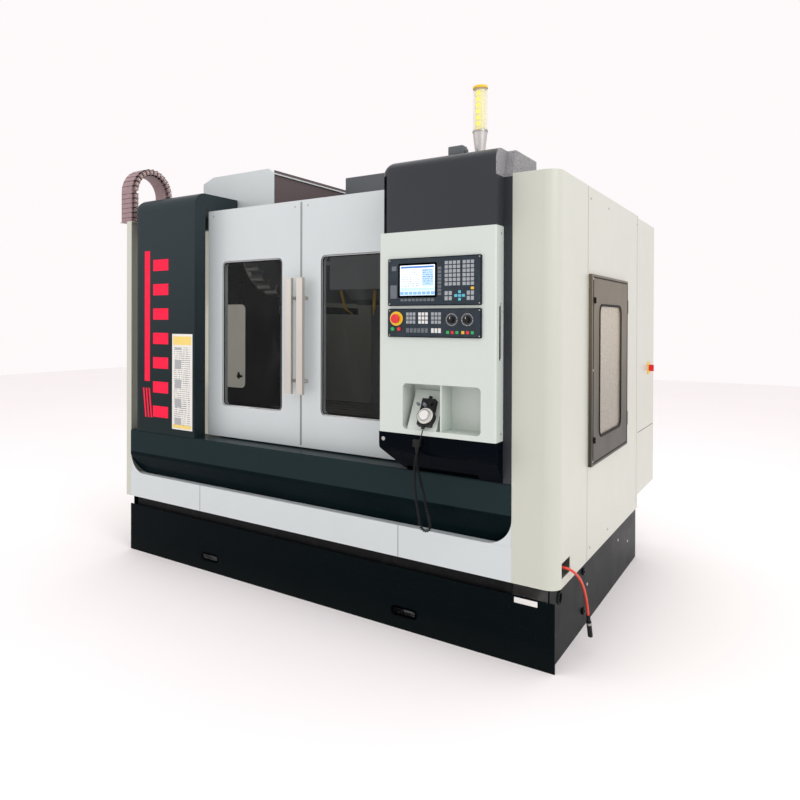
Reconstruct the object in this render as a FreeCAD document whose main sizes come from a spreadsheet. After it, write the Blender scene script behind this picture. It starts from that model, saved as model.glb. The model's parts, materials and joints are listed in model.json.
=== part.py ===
import FreeCAD, Part
import math
import os
import re
import Sketcher

# Vertical machining centre, millimetres, +Z up.  The origin is on the floor, under the
# middle of the machine; the front of the machine faces -Y.

# Driving dimensions: alias, value, meaning.
DIMENSIONS = [
    ("front", -980, "Y of the front plate of the base"),
    ("gap", 0.3, "clearance between pieces of different bodies"),
    ("sheet", 3, "thickness of folded sheet"),
    ("base_w", 2490, "width of the base skirt"),
    ("base_d", 1630, "depth of the base skirt"),
    ("base_hi", 270, "height of the front plate of the skirt"),
    ("side_hi", 325, "height of the side plates of the skirt"),
    ("plate", 6, "thickness of the skirt plates"),
    ("side_inset", 22, "step from the front plate's end to a side plate"),
    ("slot_w", 110, "length of a lifting slot"),
    ("slot_hi", 24, "height of a lifting slot"),
    ("slot_z", 78, "height of the lifting slots"),
    ("slot_span", 1182, "distance between the two lifting slots"),
    ("hose_hole", 22, "radius of the hole in the right side plate"),
    ("hose_hole_y", 133, "distance of that hole behind the front"),
    ("hose_hole_z", 250, "height of that hole"),
    ("foot_z", 40, "height of the levelling feet"),
    ("foot_rad", 45, "radius of a levelling foot"),
    ("foot_span", 460, "outer levelling feet from the middle"),
    ("foot_pitch", 330, "distance between rows of levelling feet"),
    ("bed_w", 1100, "width of the bed casting"),
    ("bed_y", 140, "bed front behind the base front"),
    ("bed_d", 1310, "depth of the wide front part of the bed casting"),
    ("bed_tail", 150, "depth of the narrow rear part of the bed casting"),
    ("bed_hi", 420, "height of the bed casting"),
    ("pad_w", 110, "width of a machined rail pad"),
    ("pad_hi", 30, "height of a machined rail pad"),
    ("rail_w", 35, "width of a linear rail"),
    ("rail_hi", 30, "height of a linear rail"),
    ("rail_y_len", 1000, "length of the Y rails"),
    ("rail_z_len", 1080, "length of the Z rails"),
    ("rail_y_span", 560, "distance between the Y rails"),
    ("rail_z_span", 330, "distance between the Z rails"),
    ("col_w", 560, "width of the column"),
    ("col_y", 1160, "column rail face behind the base front"),
    ("col_d", 440, "depth of the column"),
    ("col_top", 2120, "height of the column top"),
    ("spindle_y", 660, "spindle axis behind the base front"),
    ("nose_z", 1480, "height of the spindle nose at the top of its travel"),
    ("nose_rad", 64, "radius of the spindle nose"),
    ("quill_rad", 75, "radius of the spindle cartridge"),
    ("taper_rad", 22.225, "radius of the tool taper at the nose"),
    ("taper_small", 12.7, "radius of the tool taper at its deep end"),
    ("taper_len", 65.4, "depth of the tool taper"),
    ("head_w", 320, "width of the headstock"),
    ("head_hi", 400, "height of the headstock"),
    ("head_front", 150, "headstock front ahead of the spindle axis"),
    ("motor_w", 490, "width of the motor cover"),
    ("motor_hi", 345, "height of the motor cover"),
    ("motor_y", 800, "motor cover front behind the base front"),
    ("motor_d", 310, "depth of the motor cover"),
    ("saddle_w", 900, "width of the saddle"),
    ("saddle_d", 500, "depth of the saddle"),
    ("saddle_z", 530, "height of the saddle's underside"),
    ("saddle_hi", 120, "height of the saddle"),
    ("way_w", 70, "width of a table way"),
    ("way_hi", 30, "height of a table way"),
    ("way_span", 330, "distance between the table ways"),
    ("table_w", 1000, "length of the table"),
    ("table_d", 500, "depth of the table"),
    ("table_top", 860, "height of the table's face"),
    ("tslot_w", 18, "width of a T slot's neck"),
    ("tslot_neck", 16, "depth of a T slot's neck"),
    ("tslot_foot_w", 30, "width of a T slot's foot"),
    ("tslot_foot_hi", 14, "height of a T slot's foot"),
    ("tslot_pitch", 100, "pitch of the T slots"),
    ("tslots", 5, "number of T slots"),
    ("enc_w", 2520, "width of the enclosure"),
    ("enc_z", 325, "height of the enclosure's lower edge"),
    ("enc_top", 1947, "height of the enclosure's upper edge"),
    ("enc_step", 20, "enclosure front ahead of the base front"),
    ("enc_back", 1472, "enclosure rear behind the base front"),
    ("rim", 40, "width of a folded flange"),
    ("pillar_w", 180, "width of the right front pillar"),
    ("pillar_rad", 55, "corner radius of the right front pillar"),
    ("seam_y", 420, "seam of the right side behind the base front"),
    ("sill_hi", 139, "height of the white front sill"),
    ("sill_d", 60, "depth of the white front sill"),
    ("seam_w", 3, "width of a panel seam"),
    ("seam_left", -650, "X of the sill's left seam"),
    ("seam_right", 570, "X of the sill's right seam"),
    ("bezel_w", 530, "width of the black column cover"),
    ("bezel_top", 2065, "height of the black column cover's top"),
    ("bezel_front", 22, "black covers' front ahead of the base front"),
    ("bezel_d", 82, "depth of the black covers in front of the doors"),
    ("bezel_cap_d", 345, "depth of the black column cover's cap"),
    ("bezel_round_top", 75, "radius of the cover's upper front edge"),
    ("bezel_round_side", 65, "radius of the cover's upper left corner"),
    ("ledge_z", 715, "height of the ledge under the doors"),
    ("ledge_d", 152, "depth of the ledge under the doors"),
    ("band_round", 110, "corner radius of the black band"),
    ("band_break_z", 570, "height where the band starts to lean in"),
    ("band_lean", 42, "how far the band leans in at its lower edge"),
    ("door_y", 95, "door front behind the base front"),
    ("door_t", 35, "thickness of a door"),
    ("door_w", 649, "width of a door"),
    ("door_z", 722, "height of the doors' lower edge"),
    ("door_top", 1970, "height of the doors' upper edge"),
    ("door_seam_x", -50, "X where the doors meet"),
    ("door_seam", 1, "gap between the doors"),
    ("win_edge", 128, "window edge from the door's meeting edge"),
    ("win_w", 407, "width of a door window"),
    ("win_z", 897, "height of the windows' lower edge"),
    ("win_hi", 783, "height of a door window"),
    ("win_round", 25, "corner radius of a door window"),
    ("glass_t", 10, "thickness of a door's glass"),
    ("glass_in", 5, "glass front behind the door's front"),
    ("grip_edge", 15, "handle edge from the door's meeting edge"),
    ("grip_w", 40, "width of a handle bar"),
    ("grip_t", 22, "thickness of a handle bar"),
    ("grip_z", 995, "height of a handle bar's lower end"),
    ("grip_len", 580, "length of a handle bar"),
    ("grip_off", 43, "free space behind a handle bar"),
    ("post_rad", 9, "radius of a handle post"),
    ("post_low", 62, "lower post from the bar's lower end"),
    ("post_high", 480, "upper post from the bar's lower end"),
    ("rail_beam_y", 150, "door rail beam behind the base front"),
    ("rail_beam_d", 50, "depth of the door rail beam"),
    ("rail_beam_hi", 64, "height of the door rail beam"),
    ("hanger_w", 60, "width of a door hanger"),
    ("box_x", 521, "X of the control box's left side"),
    ("box_w", 524, "width of the control box"),
    ("box_z", 884, "height of the control box's lower edge"),
    ("box_hi", 854, "height of the control box"),
    ("box_front", 100, "control box front ahead of the base front"),
    ("box_d", 135, "depth of the control box"),
    ("box_round", 8, "edge radius of the control box"),
    ("pocket_x", 115, "pocket's left edge from the control box's left side"),
    ("pocket_w", 347, "width of the pocket"),
    ("pocket_z", 21, "pocket's lower edge above the control box's lower edge"),
    ("pocket_hi", 193, "height of the pocket"),
    ("pocket_d", 110, "depth of the pocket"),
    ("pocket_round", 18, "corner radius of the pocket"),
    ("pocket_wall", 6, "thickness of the pocket's dividing wall"),
    ("seat_w", 170, "width of the leaning seat in the pocket"),
    ("seat_hi", 160, "height of the leaning seat in the pocket"),
    ("apron_low", 169, "height of the black apron under the control box"),
    ("apron_front", 70, "height of the apron's upright face"),
    ("apron_slant", 100, "width of the apron's slanted left corner"),
    ("hood_hi", 307, "height of the black hood over the control box"),
    ("hood_d", 370, "depth of the black hood"),
    ("hood_round_top", 50, "radius of the hood's upper front edge"),
    ("hood_round_side", 55, "radius of the hood's upper left corner"),
    ("strip_w", 35, "width of the black strip beside the pillar"),
    ("panel_x", 47, "panels' left edge from the control box's left side"),
    ("panel_w", 420, "width of both panels"),
    ("panel_t", 8, "thickness of both panels"),
    ("screen_z", 541, "screen panel's lower edge above the box's lower edge"),
    ("screen_hi", 200, "height of the screen panel"),
    ("oper_z", 409, "operator panel's lower edge above the box's lower edge"),
    ("oper_hi", 120, "height of the operator panel"),
    ("lcd_x", 57, "display's left edge from the panel's left edge"),
    ("lcd_z", 42, "display's lower edge from the panel's lower edge"),
    ("lcd_w", 163, "width of the display"),
    ("lcd_hi", 128, "height of the display"),
    ("lcd_t", 3, "thickness of the display"),
    ("stop_x", 42, "emergency stop from the panel's left edge"),
    ("stop_z", 78, "emergency stop from the panel's lower edge"),
    ("collar_rad", 30, "radius of the emergency stop's ring"),
    ("collar_t", 4, "thickness of the emergency stop's ring"),
    ("stop_rad", 19, "radius of the mushroom head"),
    ("stem_rad", 11, "radius of the mushroom's stem"),
    ("stop_travel", 6, "travel of the mushroom"),
    ("key_rad", 8, "radius of a push button"),
    ("key_out", 6, "how far a push button stands out"),
    ("key_in", 6, "how far a push button goes into the panel"),
    ("key_z", 34, "push buttons from the panel's lower edge"),
    ("green_x", 25, "green button from the panel's left edge"),
    ("red_x", 55, "red button from the panel's left edge"),
    ("dial_rad", 14, "radius of an override knob"),
    ("dial_out", 18, "how far an override knob stands out"),
    ("dial_z", 74, "override knobs from the panel's lower edge"),
    ("feed_x", 294, "feed knob from the panel's left edge"),
    ("speed_x", 361, "speed knob from the panel's left edge"),
    ("spindle_pin", 3, "radius of a knob's shaft"),
    ("side_door_y", 420, "side door's front edge behind the base front"),
    ("side_door_w", 718, "width of the side door"),
    ("side_door_z", 731, "height of the side door's lower edge"),
    ("side_door_hi", 836, "height of the side door"),
    ("side_door_t", 14, "thickness of the side door"),
    ("side_lap", 25, "overlap of the side door on its opening"),
    ("side_win_y", 139, "side window from the side door's front edge"),
    ("side_win_w", 416, "width of the side window"),
    ("side_win_z", 119, "side window from the side door's lower edge"),
    ("side_win_hi", 580, "height of the side window"),
    ("side_win_round", 40, "corner radius of the side window"),
    ("side_glass_t", 5, "thickness of the side window's glass"),
    ("knuckle_rad", 7, "radius of the side door's hinge knuckles"),
    ("latch_y", 38, "latches from the side door's front edge"),
    ("latch_low", 112, "lower latch from the side door's lower edge"),
    ("latch_high", 722, "upper latch from the side door's lower edge"),
    ("latch_rad", 14, "radius of a latch's round base"),
    ("latch_t", 8, "thickness of a latch"),
    ("hose_open_y", 35, "hose opening behind the base front"),
    ("hose_open_w", 115, "width of the hose opening"),
    ("hose_open_z", 360, "height of the hose opening's lower edge"),
    ("hose_open_hi", 62, "height of the hose opening"),
    ("cab_w", 911, "width of the electrical cabinet"),
    ("cab_d", 464, "depth of the electrical cabinet's case"),
    ("cab_z", 395, "height of the cabinet's lower edge"),
    ("cab_top", 1936, "height of the cabinet's upper edge"),
    ("cab_door_t", 19, "thickness of the cabinet door"),
    ("switch_y", 1796, "main switch behind the base front"),
    ("switch_z", 1086, "height of the main switch"),
    ("switch_w", 70, "width of the main switch plate"),
    ("switch_t", 4, "thickness of the main switch plate"),
    ("switch_rad", 20, "radius of the main switch's knob"),
    ("lamp_x", 895, "X of the signal lamp"),
    ("lamp_y", 100, "signal lamp behind the base front"),
    ("lamp_base", 120, "height of the lamp's metal foot"),
    ("lamp_rad", 31, "radius of the lamp's clear tube"),
    ("lamp_foot", 17, "radius of the lamp's foot at the bottom"),
    ("lamp_wall", 3, "wall of the clear tube"),
    ("led_rad", 20, "radius of the light column"),
    ("lamp_len", 196, "height of the clear tube"),
    ("cover_x", -975, "X of the magazine cover's left side"),
    ("cover_y", 330, "magazine cover front behind the base front"),
    ("cover_w", 555, "width of the magazine cover"),
    ("cover_d", 780, "depth of the magazine cover"),
    ("cover_hi", 283, "height of the magazine cover"),
    ("cover_cut_left", 85, "width of the cover's left chamfer"),
    ("cover_cut_right", 40, "width of the cover's right chamfer"),
    ("cover_cut_z", 32, "height of the cover's chamfers"),
    ("shutter_w", 277, "width of the tool changer's shutter panel"),
    ("shutter_y", 400, "shutter panel behind the base front"),
    ("shutter_z", 957, "height of the shutter panel's lower edge"),
    ("shutter_hi", 500, "height of the shutter panel"),
    ("shutter_round", 30, "corner radius of the shutter panel"),
    ("drum_x", -695, "X of the magazine drum's disc"),
    ("drum_z", 1830, "height of the magazine drum's axis"),
    ("drum_rad", 292, "radius of the circle of tool pots"),
    ("drum_t", 30, "thickness of the drum's disc"),
    ("pot_rad", 32, "radius of a tool pot"),
    ("pot_len", 100, "length of a tool pot"),
    ("pots", 24, "number of tool pots"),
    ("shaft_rad", 40, "radius of the drum's shaft"),
    ("arm_x", -325, "X of the change arm's axis"),
    ("arm_half", 325, "half length of the change arm"),
    ("arm_z", 1400, "height of the change arm's underside"),
    ("arm_t", 40, "thickness of the change arm"),
    ("arm_hub", 60, "radius of the change arm's hub"),
    ("grip_rad", 48, "radius of a gripper's outside"),
    ("grip_bore", 32, "radius of a gripper's jaw"),
    ("chain_x", "=-enc_w/2-85", "X of the cable chain's left face"),
    ("chain_w", 92, "width of the cable chain"),
    ("chain_y", 160, "cable chain's middle behind the base front"),
    ("chain_rad", 152, "outer radius of the cable chain's bend"),
    ("chain_t", 38, "height of a cable chain link"),
    ("chain_top", 2285, "height of the cable chain's top"),
    ("pendant_x", 738, "X of the hand pendant's middle"),
    ("pendant_up", 14, "pendant's foot up the slope of its seat"),
    ("pendant_w", 74, "width of the hand pendant"),
    ("pendant_t", 30, "thickness of the hand pendant"),
    ("pendant_len", 118, "length of the hand pendant"),
    ("pendant_lean", 28, "lean of the hand pendant in degrees"),
    ("wheel_rad", 25, "radius of the pendant's hand wheel"),
    ("wheel_t", 12, "thickness of the pendant's hand wheel"),
    ("wheel_z", 40, "hand wheel from the pendant's foot"),
    ("gland_x", 712, "X of the pendant cord's gland"),
    ("gland_w", 28, "width of the pendant cord's gland"),
    ("gland_hi", 30, "height of the pendant cord's gland"),
    ("gland_z", 838, "height of the gland's lower face"),
    ("cord_dia", 14, "outer diameter of the curly cord"),
    ("hose_dia", 11, "diameter of the red air hose"),
    ("fitting_rad", 13, "radius of the hose's wall fitting"),
    ("coupler_rad", 10, "radius of the hose's coupler"),
    ("coupler_len", 100, "length of the hose's coupler"),
]

# Routes of the two free lines, as points.  The hose's X counts from the enclosure's right side.
HOSE_ROUTE = [
    (-38, -893, 392),
    (-8, -893, 392),
    (16, -880, 384),
    (29, -852, 362),
    (36, -818, 332),
    (40, -786, 294),
    (42, -759, 252),
    (43, -738, 206),
    (44, -724, 158),
]
CORD_ROUTE = [
    (712, -1098, 838),
    (712, -1098, 786),
    (720, -1099, 734),
    (735, -1101, 684),
    (751, -1103, 634),
    (765, -1105, 584),
    (778, -1107, 541),
    (781, -1110, 510),
    (763, -1116, 499),
    (745, -1123, 510),
    (740, -1126, 545),
    (733, -1128, 596),
    (722, -1129, 648),
    (716, -1129, 700),
    (717, -1128, 752),
    (724, -1127, 804),
    (736, -1121.9, 858),
    (738, -1094.4, 910),
]

ALIASES = {alias for alias, value, meaning in DIMENSIONS}
FACES = {
    "left": ("x", "XMin"),
    "right": ("x", "XMax"),
    "front": ("y", "YMin"),
    "rear": ("y", "YMax"),
    "bottom": ("z", "ZMin"),
    "top": ("z", "ZMax"),
}
DOC = FreeCAD.newDocument("machining_centre")
PIECES = []


def make_sheet():
    """Write the driving dimensions into the document's spreadsheet."""
    sheet = DOC.addObject("Spreadsheet::Sheet", "Dims")
    for row, (alias, value, meaning) in enumerate(DIMENSIONS, start=1):
        sheet.set("A%d" % row, meaning)
        sheet.set("B%d" % row, str(value))
        sheet.setAlias("B%d" % row, alias)
    DOC.recompute()
    return sheet


SHEET = make_sheet()


def size(alias):
    """Read one driving dimension from the spreadsheet."""
    return float(SHEET.get(alias))


def bound(text):
    """Write an expression's aliases as references to the spreadsheet."""
    return re.sub(
        r"[a-z][a-z_]*[a-z]",
        lambda word: "Dims." + word.group(0) if word.group(0) in ALIASES else word.group(0),
        str(text),
    )


def bind(item, name, text):
    """Bind one property of an object to an expression over the spreadsheet."""
    item.setExpression(name, bound(text))


def place(item, at):
    """Bind the three coordinates of an object's placement."""
    for axis, text in zip("xyz", at):
        bind(item, "Placement.Base." + axis, text)


TURNS = {
    "Z": FreeCAD.Rotation(),
    "X": FreeCAD.Rotation(FreeCAD.Vector(0, 1, 0), 90),
    "Y": FreeCAD.Rotation(FreeCAD.Vector(1, 0, 0), -90),
}


class Piece:
    """One sub-part: a body whose features are bound to the spreadsheet."""

    def __init__(self, label, at=None):
        self.body = DOC.addObject("PartDesign::Body", label)
        self.body.Label = label
        if at:
            place(self.body, at)
        PIECES.append(self.body)

    def primitive(self, kind, cut, sizes, at, axis="Z"):
        """Add or cut one primitive, with its sizes and corner or axis foot bound."""
        prefix = "Subtractive" if cut else "Additive"
        feature = self.body.newObject("PartDesign::%s%s" % (prefix, kind), kind)
        for name, text in sizes.items():
            bind(feature, name, text)
        feature.Placement = FreeCAD.Placement(FreeCAD.Vector(), TURNS[axis])
        place(feature, at)
        return feature

    def box(self, dx, dy, dz, at=("0", "0", "0"), cut=False):
        """Add or cut a box from its lowest corner."""
        return self.primitive("Box", cut, {"Length": dx, "Width": dy, "Height": dz}, at)

    def rod(self, radius, length, at=("0", "0", "0"), axis="Z", cut=False):
        """Add or cut a cylinder that starts at a point and runs along +axis."""
        return self.primitive("Cylinder", cut, {"Radius": radius, "Height": length}, at, axis)

    def taper(self, first, last, length, at=("0", "0", "0"), axis="Z", cut=False):
        """Add or cut a cone from its first to its last radius, along +axis."""
        sizes = {"Radius1": first, "Radius2": last, "Height": length}
        return self.primitive("Cone", cut, sizes, at, axis)

    def prism(self, plane, points, length, at=("0", "0", "0"), cut=False):
        """Pad or pocket a polygon drawn on one of the body's origin planes.

        XZ prisms run towards +Y, YZ prisms towards +X and XY prisms towards +Z, from `at`.
        """
        role = [item for item in self.body.Origin.OriginFeatures if item.Role == plane + "_Plane"][0]
        sketch = self.body.newObject("Sketcher::SketchObject", "Outline")
        sketch.AttachmentSupport = [(role, "")]
        sketch.MapMode = "FlatFace"
        count = len(points)
        for index in range(count):
            angle = 2 * math.pi * index / count
            after = 2 * math.pi * (index + 1) / count
            start = FreeCAD.Vector(math.cos(angle), math.sin(angle), 0)
            end = FreeCAD.Vector(math.cos(after), math.sin(after), 0)
            sketch.addGeometry(Part.LineSegment(start, end))
        for index in range(count):
            sketch.addConstraint(Sketcher.Constraint("Coincident", index, 2, (index + 1) % count, 1))
        first, second, across = {"XY": (0, 1, 2), "XZ": (0, 2, 1), "YZ": (1, 2, 0)}[plane]
        for index, (u_text, v_text) in enumerate(points):
            for direction, text, base in (("X", u_text, at[first]), ("Y", v_text, at[second])):
                rule = Sketcher.Constraint("Distance" + direction, -1, 1, index, 1, 1.0)
                number = sketch.addConstraint(rule)
                bind(sketch, "Constraints[%d]" % number, "(%s) + (%s)" % (text, base))
        sign = "-1" if plane == "XZ" else "1"
        bind(sketch, "AttachmentOffset.Base.z", "(%s) * (%s)" % (at[across], sign))
        kind = "PartDesign::Pocket" if cut else "PartDesign::Pad"
        feature = self.body.newObject(kind, "Prism")
        feature.Profile = sketch
        bind(feature, "Length", length)
        feature.Reversed = (plane == "XZ") != cut
        return feature

    def edges(self, test):
        """Name the edges, in the body's own frame, that pass a test on middle and direction."""
        DOC.recompute()
        names = []
        for index, edge in enumerate(self.body.Tip.Shape.Edges, start=1):
            span = edge.lastVertex().Point.sub(edge.firstVertex().Point)
            if span.Length > 1e-6:
                span.normalize()
            if test(edge.CenterOfMass, span, edge):
                names.append("Edge%d" % index)
        return names

    def round(self, radius, test):
        """Fillet the edges that pass a test."""
        names = self.edges(test)
        solid = self.body.Tip
        fillet = self.body.newObject("PartDesign::Fillet", "Fillet")
        fillet.Base = (solid, names)
        bind(fillet, "Radius", radius)
        return fillet

    def round_between(self, radius, *sides):
        """Fillet the edges that lie on two outer faces, such as top and front."""
        DOC.recompute()
        limits = self.body.Tip.Shape.BoundBox

        def on_both(middle, direction, edge):
            ends = [vertex.Point for vertex in edge.Vertexes]
            for side in sides:
                axis, limit = FACES[side]
                level = getattr(limits, limit)
                if any(abs(getattr(point, axis) - level) > 1e-3 for point in ends):
                    return False
            return True

        return self.round(radius, on_both)


def slot_cut(piece, length, height, thickness, at):
    """Cut a round-ended slot that runs along X through a plate of given thickness."""
    x, y, z = at
    end = "(%s)/2" % height
    piece.box("(%s)-(%s)" % (length, height), thickness, height,
              ("(%s)-(%s)/2+%s" % (x, length, end), y, "(%s)-%s" % (z, end)), cut=True)
    for side in ("-", "+"):
        middle = "(%s)%s((%s)-(%s))/2" % (x, side, length, height)
        piece.rod(end, thickness, (middle, y, z), axis="Y", cut=True)


def along(axis):
    """Make a test that keeps edges parallel to an axis."""
    return lambda middle, direction, edge: abs(getattr(direction, axis)) > 0.999


def at_y(offset):
    """Write a Y coordinate as a distance behind the base's front."""
    return "front+(%s)" % offset


# --- base, bed and column ---------------------------------------------------------------


def build_base_skirt():
    skirt = Piece("base_skirt", ("-base_w/2", "front", "0"))
    skirt.box("base_w", "plate", "base_hi")
    for x in ("side_inset", "base_w-side_inset-plate"):
        skirt.box("plate", "base_d-plate", "side_hi", (x, "plate", "0"))
    for side in ("-", "+"):
        slot_cut(skirt, "slot_w", "slot_hi", "plate", ("base_w/2%sslot_span/2" % side, "0", "slot_z"))
    skirt.rod("hose_hole", "plate", ("base_w-side_inset-plate", "hose_hole_y", "hose_hole_z"),
              axis="X", cut=True)


def build_bed_casting():
    rib_gap = "bed_d/5"
    bed = Piece("bed_casting", ("-bed_w/2", at_y("bed_y"), "foot_z"))
    bed.box("bed_w", "bed_d", "bed_hi")
    bed.box("col_w+pad_w", "bed_tail", "bed_hi", ("bed_w/2-(col_w+pad_w)/2", "bed_d", "0"))
    for side in ("-", "+"):
        x = "bed_w/2%srail_y_span/2-pad_w/2" % side
        bed.box("pad_w", "rail_y_len", "pad_hi", (x, "0", "bed_hi"))
    for bay in range(4):
        y = "%s*%d+%s*0.6" % (rib_gap, bay, rib_gap)
        for x in ("0", "bed_w-sheet*20"):
            bed.box("sheet*20", rib_gap + "*0.8", "bed_hi*0.6", (x, y, "bed_hi*0.2"), cut=True)
    bed.round(12, along("z"))


def build_leveling_feet():
    feet = Piece("leveling_feet", ("0", "0", "0"))
    for row in (-2, -1, 0, 1):
        for column in (-1, 0, 1):
            x = "foot_span*%d" % column
            y = "foot_pitch*%d" % row
            feet.rod("foot_rad", "foot_z/2", (x, y, "0"))
            feet.rod("foot_rad/3", "foot_z/2", (x, y, "foot_z/2"))


def build_column_casting():
    foot_hi = "pad_w"
    column = Piece("column_casting", ("0", at_y("col_y"), "foot_z+bed_hi"))
    column.box("col_w+pad_w", "col_d", foot_hi, ("-(col_w+pad_w)/2", "0", "0"))
    height = "col_top-foot_z-bed_hi-%s" % foot_hi
    column.box("col_w", "col_d", height, ("-col_w/2", "0", foot_hi))
    column.box("col_w-pad_w*2", "sheet*10", height + "-pad_w*3",
               ("-col_w/2+pad_w", "col_d-sheet*10", foot_hi + "+pad_w"), cut=True)
    column.box("rail_z_span-pad_w", "sheet*8", height + "-pad_w*2",
               ("-(rail_z_span-pad_w)/2", "0", foot_hi + "+pad_w"), cut=True)


def build_guide_rails():
    rails = Piece("guide_rails", ("0", "front", "0"))
    for side in ("-", "+"):
        rails.box("rail_w", "rail_y_len", "rail_hi",
                  ("%srail_y_span/2-rail_w/2" % side, "bed_y", "foot_z+bed_hi+pad_hi"))
        rails.box("rail_w", "rail_hi", "rail_z_len",
                  ("%srail_z_span/2-rail_w/2" % side, "col_y-rail_hi", "col_top-rail_z_len-pad_hi"))


# --- moving slides, head and tool changer ---------------------------------------------------


def build_saddle():
    block_w = "(rail_w+pad_hi*2)"
    saddle = Piece("saddle", ("0", at_y("spindle_y"), "saddle_z"))
    saddle.box("saddle_w", "saddle_d", "saddle_hi", ("-saddle_w/2", "-saddle_d/2", "0"))
    pad_top = "foot_z+bed_hi+pad_hi"
    block_hi = "saddle_z-(%s)-pad_hi/6" % pad_top
    for side in ("-", "+"):
        middle = "%srail_y_span/2" % side
        for end in ("-saddle_d/2", "saddle_d/2-" + block_w):
            saddle.box(block_w, block_w, block_hi, (middle + "-%s/2" % block_w, end, "-(%s)" % block_hi))
        saddle.box("rail_w+gap*2", "saddle_d", "(%s)+gap+rail_hi-(saddle_z-(%s))" % (block_hi, pad_top),
                   (middle + "-rail_w/2-gap", "-saddle_d/2", "-(%s)" % block_hi), cut=True)
        saddle.box("saddle_w", "way_w", "way_hi",
                   ("-saddle_w/2", "%sway_span/2-way_w/2" % side, "saddle_hi"))


def build_table():
    table = Piece("table", ("0", at_y("spindle_y"), "saddle_z+saddle_hi+gap"))
    height = "table_top-saddle_z-saddle_hi-gap"
    table.box("table_w", "table_d", height, ("-table_w/2", "-table_d/2", "0"))
    for side in ("-", "+"):
        table.box("table_w", "way_w+gap*2", "way_hi",
                  ("-table_w/2", "%sway_span/2-way_w/2-gap" % side, "0"), cut=True)
    for slot in range(int(size("tslots"))):
        middle = "(%d-(tslots-1)/2)*tslot_pitch" % slot
        table.box("table_w", "tslot_w", "tslot_neck",
                  ("-table_w/2", middle + "-tslot_w/2", height + "-tslot_neck"), cut=True)
        table.box("table_w", "tslot_foot_w", "tslot_foot_hi",
                  ("-table_w/2", middle + "-tslot_foot_w/2", height + "-tslot_neck-tslot_foot_hi"),
                  cut=True)


def build_headstock():
    reach = "(col_y-spindle_y)"
    block_w = "(rail_w+pad_hi*2)"
    head = Piece("headstock", ("0", at_y("spindle_y"), "nose_z"))
    rear = "%s-rail_hi-gap" % reach
    head.box("head_w", "head_front+%s" % rear, "head_hi-pad_w/2", ("-head_w/2", "-head_front", "pad_w/2"))
    head.taper("nose_rad+pad_hi", "head_front-pad_hi/2", "pad_w/2", ("0", "0", "0"))
    head.box("rail_z_span+rail_w+pad_hi*2", "pad_w", "head_hi-pad_w/2",
             ("-(rail_z_span+rail_w+pad_hi*2)/2", "%s-pad_w" % rear, "pad_w/2"))
    for side in ("-", "+"):
        middle = "%srail_z_span/2" % side
        for low in ("pad_w/2", "head_hi-" + block_w):
            head.box(block_w, "rail_hi-pad_hi/6+gap", block_w, (middle + "-%s/2" % block_w, rear, low))
        head.box("rail_w+gap*2", "rail_hi", "head_hi", (middle + "-rail_w/2-gap", rear, "0"), cut=True)
    head.rod("quill_rad+gap", "head_hi*0.8", ("0", "0", "0"), cut=True)


def build_motor_cover():
    cover = Piece("motor_cover", ("-motor_w/2", at_y("motor_y"), "nose_z+head_hi"))
    cover.box("motor_w", "motor_d", "motor_hi")
    cover.round_between("sheet*2", "top", "front")
    cover.box("motor_w-sheet*2", "motor_d-sheet*4", "motor_hi-sheet*3", ("sheet", "sheet*2", "0"), cut=True)


def build_spindle():
    spindle = Piece("spindle", ("0", at_y("spindle_y"), "nose_z"))
    spindle.rod("nose_rad", "pad_hi", ("0", "0", "-pad_hi"))
    spindle.rod("quill_rad", "head_hi*0.8-gap*2", ("0", "0", "0"))
    spindle.taper("taper_rad", "taper_small", "taper_len", ("0", "0", "-pad_hi"), cut=True)
    for side in ("-1", "1"):
        spindle.box("tslot_neck", "pad_hi", "pad_hi/3",
                    ("%s*(nose_rad-tslot_neck/2)-tslot_neck/2" % side, "-pad_hi/2", "-pad_hi"), cut=True)


def build_magazine_drum():
    drum = Piece("magazine_drum", ("drum_x", at_y("spindle_y"), "drum_z"))
    drum.rod("drum_rad+pot_rad/2", "drum_t", axis="X")
    drum.rod("shaft_rad*2", "drum_t*2", axis="X")
    pot = drum.rod("pot_rad", "pot_len", ("drum_t/2", "0", "-drum_rad"), axis="X")
    pattern = drum.body.newObject("PartDesign::PolarPattern", "Pots")
    pattern.Originals = [pot]
    axis = [item for item in drum.body.Origin.OriginFeatures if item.Role == "X_Axis"][0]
    pattern.Axis = (axis, [""])
    pattern.Angle = 360
    bind(pattern, "Occurrences", "pots")
    drum.body.Tip = pattern
    drum.rod("shaft_rad+gap", "drum_t*2", axis="X", cut=True)


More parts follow.
